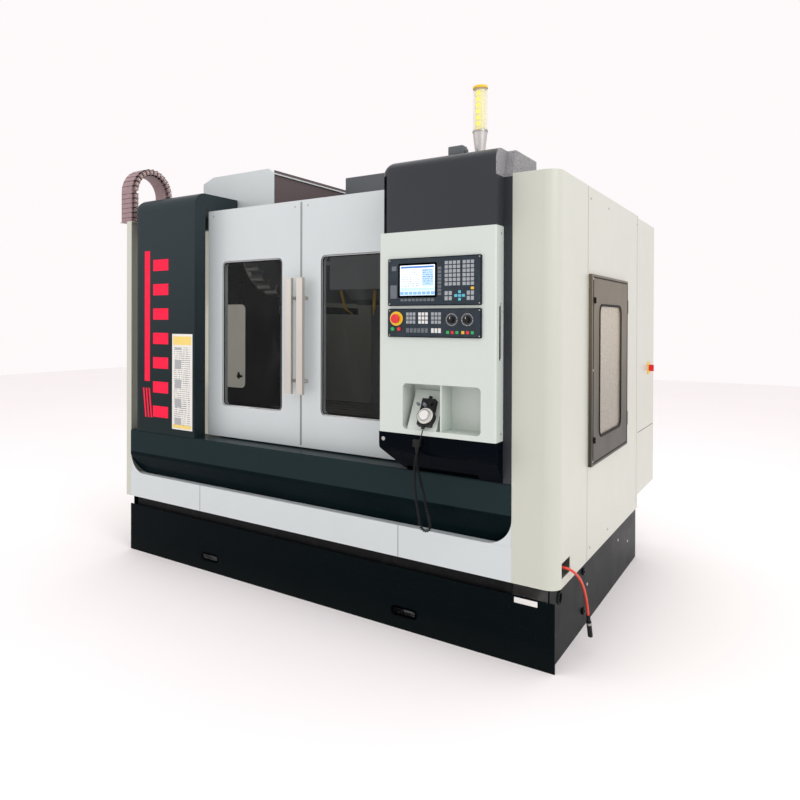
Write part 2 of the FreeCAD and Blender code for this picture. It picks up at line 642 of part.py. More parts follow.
def build_magazine_bracket():
    plate_x = "(drum_x+drum_t/2+pot_len+shaft_rad/2)"
    wall = "(pad_w/2)"
    side = "(-col_w/2)"
    bracket = Piece("magazine_bracket", ("0", "front", "0"))
    bracket.rod("shaft_rad", plate_x + "-drum_x+gap", ("drum_x-gap", "spindle_y", "drum_z"), axis="X")
    bracket.rod("shaft_rad*1.4", "drum_t/3", ("drum_x-gap-drum_t/3", "spindle_y", "drum_z"), axis="X")
    bracket.box(wall, "col_y+pad_w*2-spindle_y+shaft_rad*2", "shaft_rad*4",
                (plate_x, "spindle_y-shaft_rad*2", "drum_z-shaft_rad*2"))
    bracket.box("%s-%s" % (side, plate_x), "pad_w*2", "shaft_rad*4",
                (plate_x, "col_y+pad_hi", "drum_z-shaft_rad*2"))
    gear_w = "(%s-arm_x+arm_hub)" % side
    gear_z = "(arm_z+arm_t+pad_hi)"
    bracket.box(gear_w, "col_y+pad_hi+pad_w*2-spindle_y+arm_hub", "pad_w*2",
                ("arm_x-arm_hub", "spindle_y-arm_hub", gear_z))
    bracket.box(gear_w, "pad_w*2", "drum_z-shaft_rad*2-%s" % gear_z,
                ("arm_x-arm_hub", "col_y+pad_hi", gear_z))
    bracket.rod("shaft_rad/2", "pad_hi+arm_t", ("arm_x", "spindle_y", "arm_z"))


def build_change_arm():
    arm = Piece("tool_change_arm", ("arm_x", at_y("spindle_y"), "arm_z"))
    arm.box("arm_hub", "arm_half*2", "arm_t", ("-arm_hub/2", "-arm_half", "0"))
    arm.rod("arm_hub", "arm_t")
    for side in ("-", "+"):
        arm.rod("grip_rad", "arm_t", ("0", "%sarm_half" % side, "0"))
    for side in ("-", "+"):
        arm.rod("grip_bore", "arm_t", ("0", "%sarm_half" % side, "0"), cut=True)
    arm.box("grip_rad*2", "grip_bore*1.6", "arm_t", ("0", "arm_half-grip_bore*0.8", "0"), cut=True)
    arm.box("grip_rad*2", "grip_bore*1.6", "arm_t",
            ("-grip_rad*2", "-arm_half-grip_bore*0.8", "0"), cut=True)
    arm.rod("shaft_rad/2+gap", "arm_t", cut=True)


# --- enclosure -----------------------------------------------------------------------------


def build_left_wall():
    depth = "enc_back+enc_step"
    height = "enc_top-enc_z"
    wall = Piece("left_wall", ("-enc_w/2", at_y("-enc_step"), "enc_z"))
    wall.box("rim", depth, height)
    wall.box("rim", depth + "-sheet*2", height + "-sheet*2", ("sheet", "sheet", "sheet"), cut=True)


def build_right_pillar():
    depth = "(seam_y+enc_step)"
    height = "(enc_top-enc_z)"
    pillar = Piece("right_pillar", ("enc_w/2-pillar_w", at_y("-enc_step"), "enc_z"))
    pillar.box("pillar_w", depth, height)
    pillar.round_between("pillar_rad", "front", "right")
    pillar.box("pillar_w-pillar_rad-sheet", depth, height + "-sheet*2", ("0", "sheet", "sheet"), cut=True)
    pillar.box("pillar_w-sheet", depth, height + "-sheet*2", ("0", "pillar_rad+sheet", "sheet"), cut=True)
    pillar.box("sheet", "hose_open_w", "hose_open_hi",
               ("pillar_w-sheet", "enc_step+hose_open_y", "hose_open_z-enc_z"), cut=True)
    pillar.box("sheet", "hose_open_w", "hose_open_z-enc_z+hose_open_hi",
               ("pillar_w-fitting_rad*2.5-sheet+(%g)" % HOSE_ROUTE[0][0], "enc_step+hose_open_y", "0"))


def build_right_side_panel():
    depth = "(enc_back-seam_y)"
    height = "(enc_top-enc_z)"
    panel = Piece("right_side_panel", ("enc_w/2-rim", at_y("seam_y"), "enc_z"))
    panel.box("rim", depth, height)
    panel.box("rim-sheet", depth + "-sheet*2", height + "-sheet*2", ("0", "sheet", "sheet"), cut=True)
    panel.box("sheet", "side_door_w-side_lap*2", "side_door_hi-side_lap*2",
              ("rim-sheet", "side_door_y-seam_y+side_lap", "side_door_z-enc_z+side_lap"), cut=True)


def build_rear_panels():
    inner = "(enc_w/2-sheet)"
    panels = Piece("rear_panels", ("0", at_y("enc_back-sheet*2"), "enc_z"))
    height = "enc_top-enc_z-sheet*2"
    foot = "(col_w+pad_w)/2"
    for x in ("-" + inner, foot):
        panels.box("%s-%s" % (inner, foot), "sheet", height + "-sheet", (x, "0", "sheet"))
        panels.box("%s-%s" % (inner, foot), "rim", "sheet", (x, "sheet-rim", height))


def build_inner_guards():
    depth = "enc_back-sheet*2-rim-rail_beam_y-rail_beam_d"
    guards = Piece("inner_guards", ("0", at_y("rail_beam_y+rail_beam_d"), "enc_z+sheet"))
    for x in ("cover_x", "-cover_x-sheet"):
        guards.box("sheet", depth + "+rim", "enc_top-enc_z-sheet*3", (x, "0", "0"))
    guards.box("shutter_w", "sheet", "shutter_hi",
               ("cover_x", "shutter_y-rail_beam_y-rail_beam_d", "shutter_z-enc_z-sheet"))
    edge = size("cover_x") + size("shutter_w")
    guards.round("shutter_round", lambda middle, direction, line:
                 abs(direction.y) > 0.99 and abs(middle.x - edge) < 1e-3)


def build_front_sill():
    width = "enc_w-rim-pillar_w"
    sill = Piece("front_sill", ("-enc_w/2+rim", at_y("-enc_step"), "enc_z"))
    sill.box(width, "sill_d", "sill_hi")
    sill.box(width, "sill_d", "sill_hi-sheet*2", ("0", "sheet", "sheet"), cut=True)
    for x in ("seam_left", "seam_right"):
        sill.box("seam_w", "sheet/2", "sill_hi", ("%s+enc_w/2-rim" % x, "0", "0"), cut=True)
    for x in ("0", width + "-band_round"):
        sill.box("band_round", "sheet", "band_round", (x, "sheet/2", "sill_hi"))
    for middle in ("band_round", width + "-band_round"):
        sill.rod("band_round", "sheet*2", (middle, "0", "sill_hi+band_round"), axis="Y", cut=True)


def build_bezel_column():
    height = "(bezel_top-ledge_z)"
    drop = "(door_top+sheet*3-ledge_z)"
    cover = Piece("bezel_column", ("-enc_w/2+rim", at_y("-bezel_front"), "ledge_z"))
    cover.box("bezel_w", "bezel_cap_d", height)
    cover.round_between("bezel_round_side", "top", "left")
    low = size("bezel_top") - size("ledge_z") - 70
    cover.round("bezel_round_top", lambda middle, direction, edge:
                middle.y < size("bezel_round_top") / 9 and middle.z > low)
    cover.box("bezel_w", "bezel_cap_d", drop, ("0", "bezel_d", "0"), cut=True)
    cover.box("bezel_w-sheet*2", "bezel_d", height + "-bezel_round_top-sheet*2",
              ("sheet", "sheet", "0"), cut=True)


def build_bezel_band():
    width = "(enc_w-rim-pillar_w)"
    low = "(enc_z+sill_hi)"
    band = Piece("bezel_band", ("-enc_w/2+rim", at_y("-bezel_front"), low))
    band.box(width, "ledge_d", "ledge_z-%s" % low)
    band.round_between("band_round", "bottom", "left")
    band.round_between("band_round", "bottom", "right")
    band.prism("YZ", [("0", "0"), ("band_lean", "0"), ("0", "band_break_z-%s" % low)],
               width, cut=True)
    band.box(width + "-band_round*2", "ledge_d", "ledge_z-%s-sheet*2" % low,
             ("band_round", "band_lean+sheet", "sheet"), cut=True)
    band.round_between("sheet*3", "top", "front")


def build_control_box():
    box = Piece("control_box", ("box_x", at_y("-box_front"), "box_z"))
    box.box("box_w", "box_d", "box_hi")
    box.round("box_round", lambda middle, direction, edge:
              middle.y < 1e-3 and abs(direction.z) > 0.99)
    floor = "(pocket_z+pocket_hi+sheet)"
    box.box("box_w-sheet*2", "box_d", "box_hi-%s-sheet" % floor, ("sheet", "sheet*3", floor), cut=True)
    box.box("pocket_w", "pocket_d", "pocket_hi", ("pocket_x", "0", "pocket_z"), cut=True)
    left, right = size("pocket_x"), size("pocket_x") + size("pocket_w")
    low, high = size("pocket_z"), size("pocket_z") + size("pocket_hi")

    def pocket_corner(middle, direction, edge):
        on_side = min(abs(middle.x - left), abs(middle.x - right)) < 1e-3
        on_end = min(abs(middle.z - low), abs(middle.z - high)) < 1e-3
        return abs(direction.y) > 0.99 and on_side and on_end and middle.y < size("pocket_d")

    box.round("pocket_round", pocket_corner)
    box.box("pocket_wall", "pocket_d-sheet*2", "pocket_hi", ("pocket_x+seat_w", "sheet*2", "pocket_z"))
    slope = "sheet*2+seat_hi*tan(pendant_lean*1deg)"
    box.prism("YZ", [("sheet*2", "0"), ("pocket_d", "0"), ("pocket_d", "seat_hi"), (slope, "seat_hi")],
              "seat_w-pocket_round*2", at=("pocket_x+pocket_round", "0", "pocket_z"))
    for low_z, tall in (("screen_z", "screen_hi"), ("oper_z", "oper_hi")):
        box.box("panel_w-rim", "sheet*3", tall + "-rim/2",
                ("panel_x+rim/2", "0", low_z + "+rim/4"), cut=True)
    box.box("sheet", "sheet*4", "screen_hi*1.1", ("box_w-sheet", "box_d/3", "oper_z-rim*2"), cut=True)


def build_control_apron():
    apron = Piece("control_apron", ("box_x", at_y("-box_front"), "ledge_z"))
    face = "(apron_low-apron_front)"
    apron.prism("YZ", [("0", "apron_low"), ("0", face), ("box_front-bezel_front", "0"),
                       ("box_d", "0"), ("box_d", "apron_low")], "box_w")
    apron.round("rim*1.6", lambda middle, direction, edge:
                abs(direction.x) > 0.99 and middle.y < 1 and middle.z < size("apron_low") - 1)
    apron.prism("XZ", [("0", "0"), ("apron_slant", "0"), ("0", face)], "box_d", cut=True)
    apron.box("box_w-apron_slant*2", "box_d-rim*2", "apron_low-rim", ("apron_slant+sheet", "rim*1.5", "0"),
              cut=True)


def build_control_hood():
    drop = "(door_top+sheet*3-box_z-box_hi)"
    hood = Piece("control_hood", ("box_x", at_y("-box_front"), "box_z+box_hi"))
    hood.box("box_w", "hood_d", "hood_hi")
    hood.round_between("hood_round_side", "top", "left")
    hood.round("hood_round_top", lambda middle, direction, edge:
               middle.y < 6 and middle.z > size("hood_hi") - 60)
    hood.box("box_w", "hood_d", drop, ("0", "box_front-bezel_front+bezel_d", "0"), cut=True)
    hood.box("box_w-sheet*2", "box_front-bezel_front+bezel_d", "hood_hi-hood_round_top-sheet*3",
             ("sheet", "sheet", "0"), cut=True)
    hood.box("strip_w", "bezel_d", "enc_top-ledge_z",
             ("box_w", "box_front-bezel_front", "ledge_z-box_z-box_hi"))


def build_hood_end_plate():
    plate = Piece("hood_end_plate", ("box_x+box_w", at_y("-bezel_front"), "enc_top"))
    run = "(hood_d-box_front+bezel_front)"
    rise = "(box_z+box_hi+hood_hi-enc_top)"
    plate.prism("YZ", [("0", "0"), (run, "0"), (run, rise), ("rim", rise)], "strip_w")


def build_door_rail():
    beam = Piece("door_rail", ("-enc_w/2+sheet", at_y("rail_beam_y"), "enc_top-sheet-rail_beam_hi"))
    beam.box("enc_w-sheet*2", "rail_beam_d", "rail_beam_hi")
    beam.box("enc_w-sheet*2", "rail_beam_d-sheet*2", "rail_beam_hi-sheet*2",
             ("0", "sheet", "sheet"), cut=True)


def build_door(side, sign):
    """Build one door: its panel with hangers, its glass and its handle.  `sign` mirrors it in X."""
    meet = "door_seam_x+(%s)*door_seam/2" % sign
    origin = (meet, at_y("door_y"), "door_z")

    def from_edge(start, width):
        return "%s" % start if sign == "1" else "-(%s)-(%s)" % (start, width)

    panel = Piece(side + "_door_panel", origin)
    panel.box("door_w", "door_t", "door_top-door_z", (from_edge("0", "door_w"), "0", "0"))
    win_x = from_edge("win_edge", "win_w")
    panel.box("win_w", "door_t", "win_hi", (win_x, "0", "win_z-door_z"), cut=True)
    low = size("win_z") - size("door_z")
    high = low + size("win_hi")
    panel.round("win_round", lambda middle, direction, edge:
                abs(direction.y) > 0.99 and min(abs(middle.z - low), abs(middle.z - high)) < 1e-3)
    rail_low = "enc_top-sheet-rail_beam_hi-door_z"
    for start in ("rim", "door_w-rim-hanger_w"):
        panel.box("hanger_w", "rail_beam_y-door_y-door_t-gap", "rail_beam_hi",
                  (from_edge(start, "hanger_w"), "door_t", rail_low))

    glass = Piece(side + "_door_glass", origin)
    glass.box("win_w-gap*2", "glass_t", "win_hi-gap*2", (win_x + "+gap", "glass_in", "win_z-door_z+gap"))
    glass.round("win_round-gap", along("y"))

    handle = Piece(side + "_door_handle", origin)
    bar_x = from_edge("grip_edge", "grip_w")
    handle.box("grip_w", "grip_t", "grip_len", (bar_x, "-grip_off-grip_t", "grip_z-door_z"))
    handle.round("sheet", along("z"))
    for post in ("post_low", "post_high"):
        handle.rod("post_rad", "grip_off+grip_t/2",
                   (bar_x + "+grip_w/2", "-grip_off-grip_t/2", "grip_z-door_z+%s" % post), axis="Y")


def build_side_door():
    origin = ("enc_w/2+gap", at_y("side_door_y"), "side_door_z")
    frame = Piece("side_door_frame", origin)
    frame.box("side_door_t", "side_door_w", "side_door_hi")
    frame.box("side_door_t", "side_win_w", "side_win_hi", ("0", "side_win_y", "side_win_z"), cut=True)
    low = size("side_win_z")
    high = low + size("side_win_hi")
    frame.round("side_win_round", lambda middle, direction, edge:
                abs(direction.x) > 0.99 and min(abs(middle.z - low), abs(middle.z - high)) < 1e-3)
    for z in ("side_door_hi*0.12", "side_door_hi*0.8"):
        frame.rod("knuckle_rad", "side_door_hi*0.08",
                  ("side_door_t-knuckle_rad", "side_door_w+knuckle_rad*0.9", z))
    for z in ("latch_low", "latch_high"):
        frame.rod("spindle_pin+gap", "side_door_t", ("0", "latch_y", z), axis="X", cut=True)

    glass = Piece("side_door_glass", origin)
    glass.box("side_glass_t", "side_win_w-gap*2", "side_win_hi-gap*2",
              ("side_door_t-side_glass_t*2", "side_win_y+gap", "side_win_z+gap"))
    glass.round("side_win_round-gap", along("x"))

    for name, z in (("lower_latch", "latch_low"), ("upper_latch", "latch_high")):
        latch = Piece(name, ("enc_w/2+gap+side_door_t+gap", at_y("side_door_y+latch_y"), "side_door_z+" + z))
        latch.rod("latch_rad", "latch_t/2", axis="X")
        latch.box("latch_t", "latch_t", "latch_rad*1.8", ("0", "-latch_t/2", "-latch_rad*0.9"))
        latch.rod("spindle_pin", "side_door_t", ("-side_door_t", "0", "0"), axis="X")


def build_magazine_cover():
    inner_cut = "(cover_cut_left-sheet)"
    cover = Piece("magazine_cover", ("cover_x", at_y("cover_y"), "enc_top-sheet*2"))
    outline = [("0", "0"), ("0", "cover_hi-cover_cut_z"), ("cover_cut_left", "cover_hi"),
               ("cover_w-cover_cut_right", "cover_hi"), ("cover_w", "cover_hi-cover_cut_z"), ("cover_w", "0")]
    cover.prism("XZ", outline, "cover_d")
    top = "cover_hi-sheet"
    hollow = [("sheet", "-sheet"), ("sheet", "cover_hi-cover_cut_z-sheet"), (inner_cut, top),
              ("cover_w-cover_cut_right", top), ("cover_w+sheet", "cover_hi-cover_cut_z-sheet*2"),
              ("cover_w+sheet", "-sheet")]
    cover.prism("XZ", hollow, "cover_d-sheet*2", at=("0", "sheet", "0"), cut=True)


# --- controls --------------------------------------------------------------------------------


def panel_spot(x, z):
    """Write a place on the operator panel's face as machine coordinates."""
    return ("box_x+panel_x+%s" % x, at_y("-box_front-panel_t"), "box_z+oper_z+%s" % z)


def build_panels():
    screen = Piece("screen_panel", ("box_x+panel_x", at_y("-box_front-panel_t"), "box_z+screen_z"))
    screen.box("panel_w", "panel_t", "screen_hi")
    screen.round("sheet*2", along("y"))
    screen.box("lcd_w", "lcd_t", "lcd_hi", ("lcd_x", "0", "lcd_z"), cut=True)

    display = Piece("display", ("box_x+panel_x+lcd_x", at_y("-box_front-panel_t"), "box_z+screen_z+lcd_z"))
    display.box("lcd_w-gap*2", "lcd_t", "lcd_hi-gap*2", ("gap", "0", "gap"))

    panel = Piece("operator_panel", ("box_x+panel_x", at_y("-box_front-panel_t"), "box_z+oper_z"))
    panel.box("panel_w", "panel_t", "oper_hi")
    panel.round("sheet*2", along("y"))
    for x, z, radius in (("stop_x", "stop_z", "stem_rad"), ("green_x", "key_z", "key_rad"),
                         ("red_x", "key_z", "key_rad"), ("feed_x", "dial_z", "spindle_pin"),
                         ("speed_x", "dial_z", "spindle_pin")):
        panel.rod(radius + "+gap", "panel_t", (x, "0", z), axis="Y", cut=True)


def build_panel_controls():
    collar = Piece("estop_collar", panel_spot("stop_x", "stop_z"))
    collar.rod("collar_rad", "collar_t", ("0", "-collar_t", "0"), axis="Y")
    collar.rod("stem_rad+gap", "collar_t", ("0", "-collar_t", "0"), axis="Y", cut=True)

    stop = Piece("estop_button", panel_spot("stop_x", "stop_z"))
    reach = "(collar_t+stop_travel+gap)"
    stop.rod("stem_rad", reach + "+panel_t", ("0", "-" + reach, "0"), axis="Y")
    stop.taper("stop_rad*0.8", "stop_rad", "collar_t", ("0", "-%s-collar_t*3" % reach, "0"), axis="Y")
    stop.rod("stop_rad", "collar_t*2", ("0", "-%s-collar_t*2" % reach, "0"), axis="Y")

    for name, x in (("green_button", "green_x"), ("red_button", "red_x")):
        key = Piece(name, panel_spot(x, "key_z"))
        key.rod("key_rad", "key_out+key_in", ("0", "-key_out", "0"), axis="Y")

    for name, x in (("feed_knob", "feed_x"), ("speed_knob", "speed_x")):
        knob = Piece(name, panel_spot(x, "dial_z"))
        knob.taper("dial_rad*0.85", "dial_rad", "dial_out", ("0", "-gap-dial_out", "0"), axis="Y")
        knob.rod("spindle_pin", "panel_t+gap", ("0", "-gap", "0"), axis="Y")
        knob.box("sheet/2", "sheet", "dial_rad", ("-sheet/4", "-gap-dial_out", "-sheet"), cut=True)


def build_signal_lamp():
    top = "box_z+box_hi+hood_hi"
    base = Piece("tower_light_base", ("lamp_x", at_y("lamp_y"), top))
    base.taper("lamp_foot", "lamp_rad", "lamp_base")
    base.rod("led_rad", "lamp_len*0.9", ("0", "0", "lamp_base"))

    lens = Piece("tower_light_lens", ("lamp_x", at_y("lamp_y"), top + "+lamp_base"))
    lens.rod("lamp_rad", "lamp_len")
    lens.round_between("lamp_rad/2", "top", "top")
    lens.rod("lamp_rad-lamp_wall", "lamp_len*0.92", cut=True)


def build_electrical_cabinet():
    cabinet = Piece("electrical_cabinet", ("enc_w/2-cab_w", at_y("enc_back"), "cab_z"))
    height = "(cab_top-cab_z)"
    cabinet.box("cab_w", "cab_d", height)
    cabinet.box("cab_w-sheet*2", "cab_d-sheet", height + "-sheet*2", ("sheet", "sheet", "sheet"), cut=True)

    door = Piece("cabinet_door", ("enc_w/2-cab_w", at_y("enc_back+cab_d+gap"), "cab_z"))
    door.box("cab_w", "cab_door_t", height)
    door.round("sheet", along("z"))

    plate = Piece("main_switch_plate", ("enc_w/2", at_y("switch_y"), "switch_z"))
    plate.box("switch_t", "switch_w", "switch_w", ("0", "-switch_w/2", "-switch_w/2"))
    plate.rod("spindle_pin+gap", "switch_t", axis="X", cut=True)

    handle = Piece("main_switch_handle", ("enc_w/2+switch_t+gap", at_y("switch_y"), "switch_z"))
    handle.rod("switch_rad", "switch_t*2", axis="X")
    handle.box("switch_t*6", "switch_t*2.5", "switch_rad*1.9", ("0", "-switch_t*1.25", "-switch_rad*0.95"))
    handle.rod("spindle_pin", "switch_t", ("-switch_t", "0", "0"), axis="X")


def build_drag_chain():
    foot = "enc_top"
    straight = "(chain_top-chain_rad-%s)" % foot
    chain = Piece("drag_chain", ("chain_x", at_y("chain_y"), foot))
    chain.rod("chain_rad", "chain_w", ("0", "0", straight), axis="X")
    chain.box("chain_w", "chain_rad*2", straight, ("0", "-chain_rad", "0"))
    chain.rod("chain_rad-chain_t", "chain_w", ("0", "0", straight), axis="X", cut=True)
    chain.box("chain_w", "(chain_rad-chain_t)*2", straight, ("0", "-(chain_rad-chain_t)", "0"), cut=True)
    chain.box("chain_w+rim/2", "chain_rad*2+rim/2", "sheet", ("0", "-chain_rad-rim/4", "0"))


# --- hand pendant, cord and hose ----------------------------------------------------------


def lean_back(body):
    """Turn a body about X by the pendant's lean, keeping its bound base point."""
    body.Placement.Rotation = FreeCAD.Rotation(FreeCAD.Vector(1, 0, 0), -size("pendant_lean"))


def build_pendant():
    lean = "(pendant_lean*1deg)"
    thick = "(pendant_t+gap)"
    origin = ("pendant_x",
              at_y("-box_front+sheet*2+pendant_up*sin(%s)-%s*cos(%s)" % (lean, thick, lean)),
              "box_z+pocket_z+pendant_up*cos(%s)+%s*sin(%s)" % (lean, thick, lean))
    pendant = Piece("pendant", origin)
    pendant.rod("pendant_t/4", "pendant_t/2", ("0", "pendant_t/4", "-pendant_t/2"))
    pendant.box("pendant_w*0.8", "pendant_t", "pendant_len", ("-pendant_w*0.4", "0", "0"))
    pendant.rod("pendant_w/2", "pendant_t", ("0", "0", "wheel_z"), axis="Y")
    pendant.rod("pendant_t/4", "pendant_t/2", ("0", "pendant_t/2", "pendant_len"))
    for side in ("-", "+"):
        pendant.rod("pendant_t/4", "pendant_t/3",
                    ("%spendant_w*0.2" % side, "-pendant_t/3", "pendant_len*0.8"), axis="Y")
    pendant.rod("spindle_pin+gap", "pendant_t/2", ("0", "0", "wheel_z"), axis="Y", cut=True)
    lean_back(pendant.body)

    wheel = Piece("pendant_wheel", origin)
    wheel.rod("wheel_rad", "wheel_t", ("0", "-wheel_t-gap", "wheel_z"), axis="Y")
    wheel.rod("wheel_rad/5", "wheel_t/2", ("wheel_rad*0.6", "-wheel_t*1.5-gap", "wheel_z"), axis="Y")
    wheel.rod("spindle_pin", "pendant_t/3", ("0", "-gap", "wheel_z"), axis="Y")
    lean_back(wheel.body)

    gland = Piece("cord_gland", ("gland_x", at_y("-box_front"), "gland_z"))
    gland.box("gland_w", "gland_w", "gland_hi", ("-gland_w/2", "-gland_w", "0"))
    gland.round_between("sheet*2", "top", "front")


def tube(label, route, diameter):
    """Make a cord's solid: straight runs joined by tangent arcs, as a plain shape."""
    points = [FreeCAD.Vector(*point) for point in route]
    edges = []
    radii = []
    start = points[0]
    for before, corner, after in zip(points, points[1:], points[2:]):
        back = before.sub(corner)
        ahead = after.sub(corner)
        turn = math.pi - back.getAngle(ahead)
        trim = 0.45 * min(back.Length, ahead.Length)
        radii.append(trim / math.tan(turn / 2))
        first = corner.add(FreeCAD.Vector(back).normalize().multiply(trim))
        last = corner.add(FreeCAD.Vector(ahead).normalize().multiply(trim))
        bisector = FreeCAD.Vector(back).normalize().add(FreeCAD.Vector(ahead).normalize()).normalize()
        reach = radii[-1] / math.cos(turn / 2)
        middle = corner.add(bisector.multiply(reach - radii[-1]))
        edges.append(Part.LineSegment(start, first).toShape())
        edges.append(Part.Arc(first, middle, last).toShape())
        start = last
    edges.append(Part.LineSegment(start, points[-1]).toShape())
    path = Part.Wire(edges)
    section = Part.Wire(Part.Circle(points[0], points[1].sub(points[0]), diameter / 2).toShape())
    solid = path.makePipeShell([section], True, False)
    expected = math.pi * diameter ** 2 / 4 * path.Length
    print("%s: length %.1f, radii %s, volume/expected %.4f" % (
        label, path.Length, [round(radius) for radius in radii], solid.Volume / expected))
    item = DOC.addObject("Part::Feature", label)
    item.Label = label
    item.Shape = solid
    item.Placement = FreeCAD.Placement()
    PIECES.append(item)
    return item


def end_frame(route, at_start):
    """Return a route's end point and the direction in which the line leaves it."""
    ordered = route if at_start else route[::-1]
    tip = FreeCAD.Vector(*ordered[0])
    return tip, FreeCAD.Vector(*ordered[1]).sub(tip).normalize()


def build_lines():
    tube("pendant_cord", CORD_ROUTE, size("cord_dia"))
    hose_route = [(x + size("enc_w") / 2, y, z) for x, y, z in HOSE_ROUTE]
    tube("red_hose", hose_route, size("hose_dia"))

    tip, away = end_frame(hose_route, True)
    fitting = Piece("hose_fitting")
    fitting.rod("fitting_rad", "fitting_rad*2", ("0", "0", "-fitting_rad*2"))
    fitting.rod("fitting_rad*1.5", "fitting_rad/2", ("0", "0", "-fitting_rad*2.5"))
    fitting.body.Placement = FreeCAD.Placement(tip, FreeCAD.Rotation(FreeCAD.Vector(0, 0, 1), away))

    tip, away = end_frame(hose_route, False)
    coupler = Piece("hose_coupler")
    coupler.rod("coupler_rad*0.8", "coupler_len*0.3", ("0", "0", "-coupler_len*0.3"))
    coupler.rod("coupler_rad", "coupler_len*0.7", ("0", "0", "-coupler_len"))
    coupler.body.Placement = FreeCAD.Placement(tip, FreeCAD.Rotation(FreeCAD.Vector(0, 0, 1), away))


def check_and_write():
    """Stop on any failed object or bad shape, then write each sub-part's file."""
    failed = []
    for item in DOC.Objects:
        if "Invalid" in item.State or "Error" in item.State:
            group = item.getParentGeoFeatureGroup()
            failed.append((group.Label if group else "", item.Name, item.getStatusString()))
    if failed:
        raise RuntimeError("failed objects: %s" % failed)
    bad = [item.Label for item in PIECES
           if item.Shape.isNull() or not item.Shape.isValid() or not item.Shape.Solids]
    if bad:
        raise RuntimeError("bad shapes: %s" % bad)
    os.makedirs("parts", exist_ok=True)
    for item in PIECES:
        item.Shape.exportStep("parts/%s.step" % item.Label)
        print(item.Label, len(item.Shape.Solids), "solids", round(item.Shape.Volume / 1e3), "cm3")
    print(len(PIECES), "pieces")


def main():
    build_base_skirt()
    build_bed_casting()
    build_leveling_feet()
    build_column_casting()
    build_guide_rails()
    build_saddle()
    build_table()
    build_headstock()
    build_motor_cover()
    build_spindle()
    build_magazine_drum()
    build_magazine_bracket()
    build_change_arm()
    build_left_wall()
    build_right_pillar()
    build_right_side_panel()
    build_rear_panels()
    build_inner_guards()
    build_front_sill()
    build_bezel_column()
    build_bezel_band()
    build_control_box()
    build_control_apron()
    build_control_hood()
    build_hood_end_plate()
    build_door_rail()
    build_door("left", "-1")
    build_door("right", "1")
    build_side_door()
    build_magazine_cover()
    build_panels()
    build_panel_controls()
    build_signal_lamp()
    build_electrical_cabinet()
    build_drag_chain()
    build_pendant()
    build_lines()
    DOC.recompute()
    check_and_write()


main()
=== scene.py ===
import json
import logging
import math
from dataclasses import dataclass
from enum import Enum
from functools import cache
from typing import Any, Iterable, Protocol, Sequence

import bmesh
import bpy
from mathutils import Matrix, Vector

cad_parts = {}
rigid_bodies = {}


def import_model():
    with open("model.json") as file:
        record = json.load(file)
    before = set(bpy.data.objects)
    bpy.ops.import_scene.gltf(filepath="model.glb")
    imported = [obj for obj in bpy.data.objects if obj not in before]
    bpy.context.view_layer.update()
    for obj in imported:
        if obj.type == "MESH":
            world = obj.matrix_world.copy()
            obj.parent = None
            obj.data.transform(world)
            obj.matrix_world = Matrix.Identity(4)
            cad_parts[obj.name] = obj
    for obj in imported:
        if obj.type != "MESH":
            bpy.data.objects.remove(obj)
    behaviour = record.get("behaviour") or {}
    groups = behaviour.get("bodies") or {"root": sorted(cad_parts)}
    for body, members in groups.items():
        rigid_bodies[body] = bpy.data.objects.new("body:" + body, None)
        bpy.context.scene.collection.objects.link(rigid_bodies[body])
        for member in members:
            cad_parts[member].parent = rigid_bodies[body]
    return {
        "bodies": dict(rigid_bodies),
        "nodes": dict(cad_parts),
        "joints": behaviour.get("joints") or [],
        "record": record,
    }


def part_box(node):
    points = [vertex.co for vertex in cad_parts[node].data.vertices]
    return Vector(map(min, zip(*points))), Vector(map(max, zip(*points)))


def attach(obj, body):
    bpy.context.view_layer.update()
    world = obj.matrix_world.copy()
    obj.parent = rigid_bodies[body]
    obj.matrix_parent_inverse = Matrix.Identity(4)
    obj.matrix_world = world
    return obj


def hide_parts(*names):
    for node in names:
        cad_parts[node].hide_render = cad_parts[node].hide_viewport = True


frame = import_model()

LOG = logging.getLogger("machining_centre")
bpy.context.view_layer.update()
SHARP_ANGLE = 0.6  # radians; edges that bend by more are bevelled
SMOOTH_ANGLE = math.radians(32)  # edges that bend by less are shaded smooth
MERGE_DISTANCE = 1e-7  # metres
MIX_SHARE, MIX_FIRST, MIX_SECOND, MIX_RESULT = 0, 6, 7, 2  # the Mix node's colour sockets

Point = Sequence[float]
Colour = tuple[float, float, float, float]


class Axis(Enum):
    """The three directions of the machine's frame."""

    X = (1.0, 0.0, 0.0)
    Y = (0.0, 1.0, 0.0)
    Z = (0.0, 0.0, 1.0)

    @property
    def output(self) -> int:
        """The direction's place among the outputs of a split vector."""
        return list(Axis).index(self)


def tint(red: int, green: int, blue: int) -> Colour:
    """Turn a colour seen on a screen into the light values that shaders use.

    Args:
        red: Red, 0 to 255.
        green: Green, 0 to 255.
        blue: Blue, 0 to 255.

    Returns:
        Linear red, green, blue and an alpha of 1.
    """
    linear = [
        part / 12.92 if part <= 0.04045 else ((part + 0.055) / 1.055) ** 2.4
        for part in (red / 255, green / 255, blue / 255)
    ]
    return (linear[0], linear[1], linear[2], 1.0)


def shaded(colour: Colour, share: float) -> Colour:
    """Give a colour with a share of its light."""
    return (colour[0] * share, colour[1] * share, colour[2] * share, 1.0)


# --- shader building ------------------------------------------------------------------------


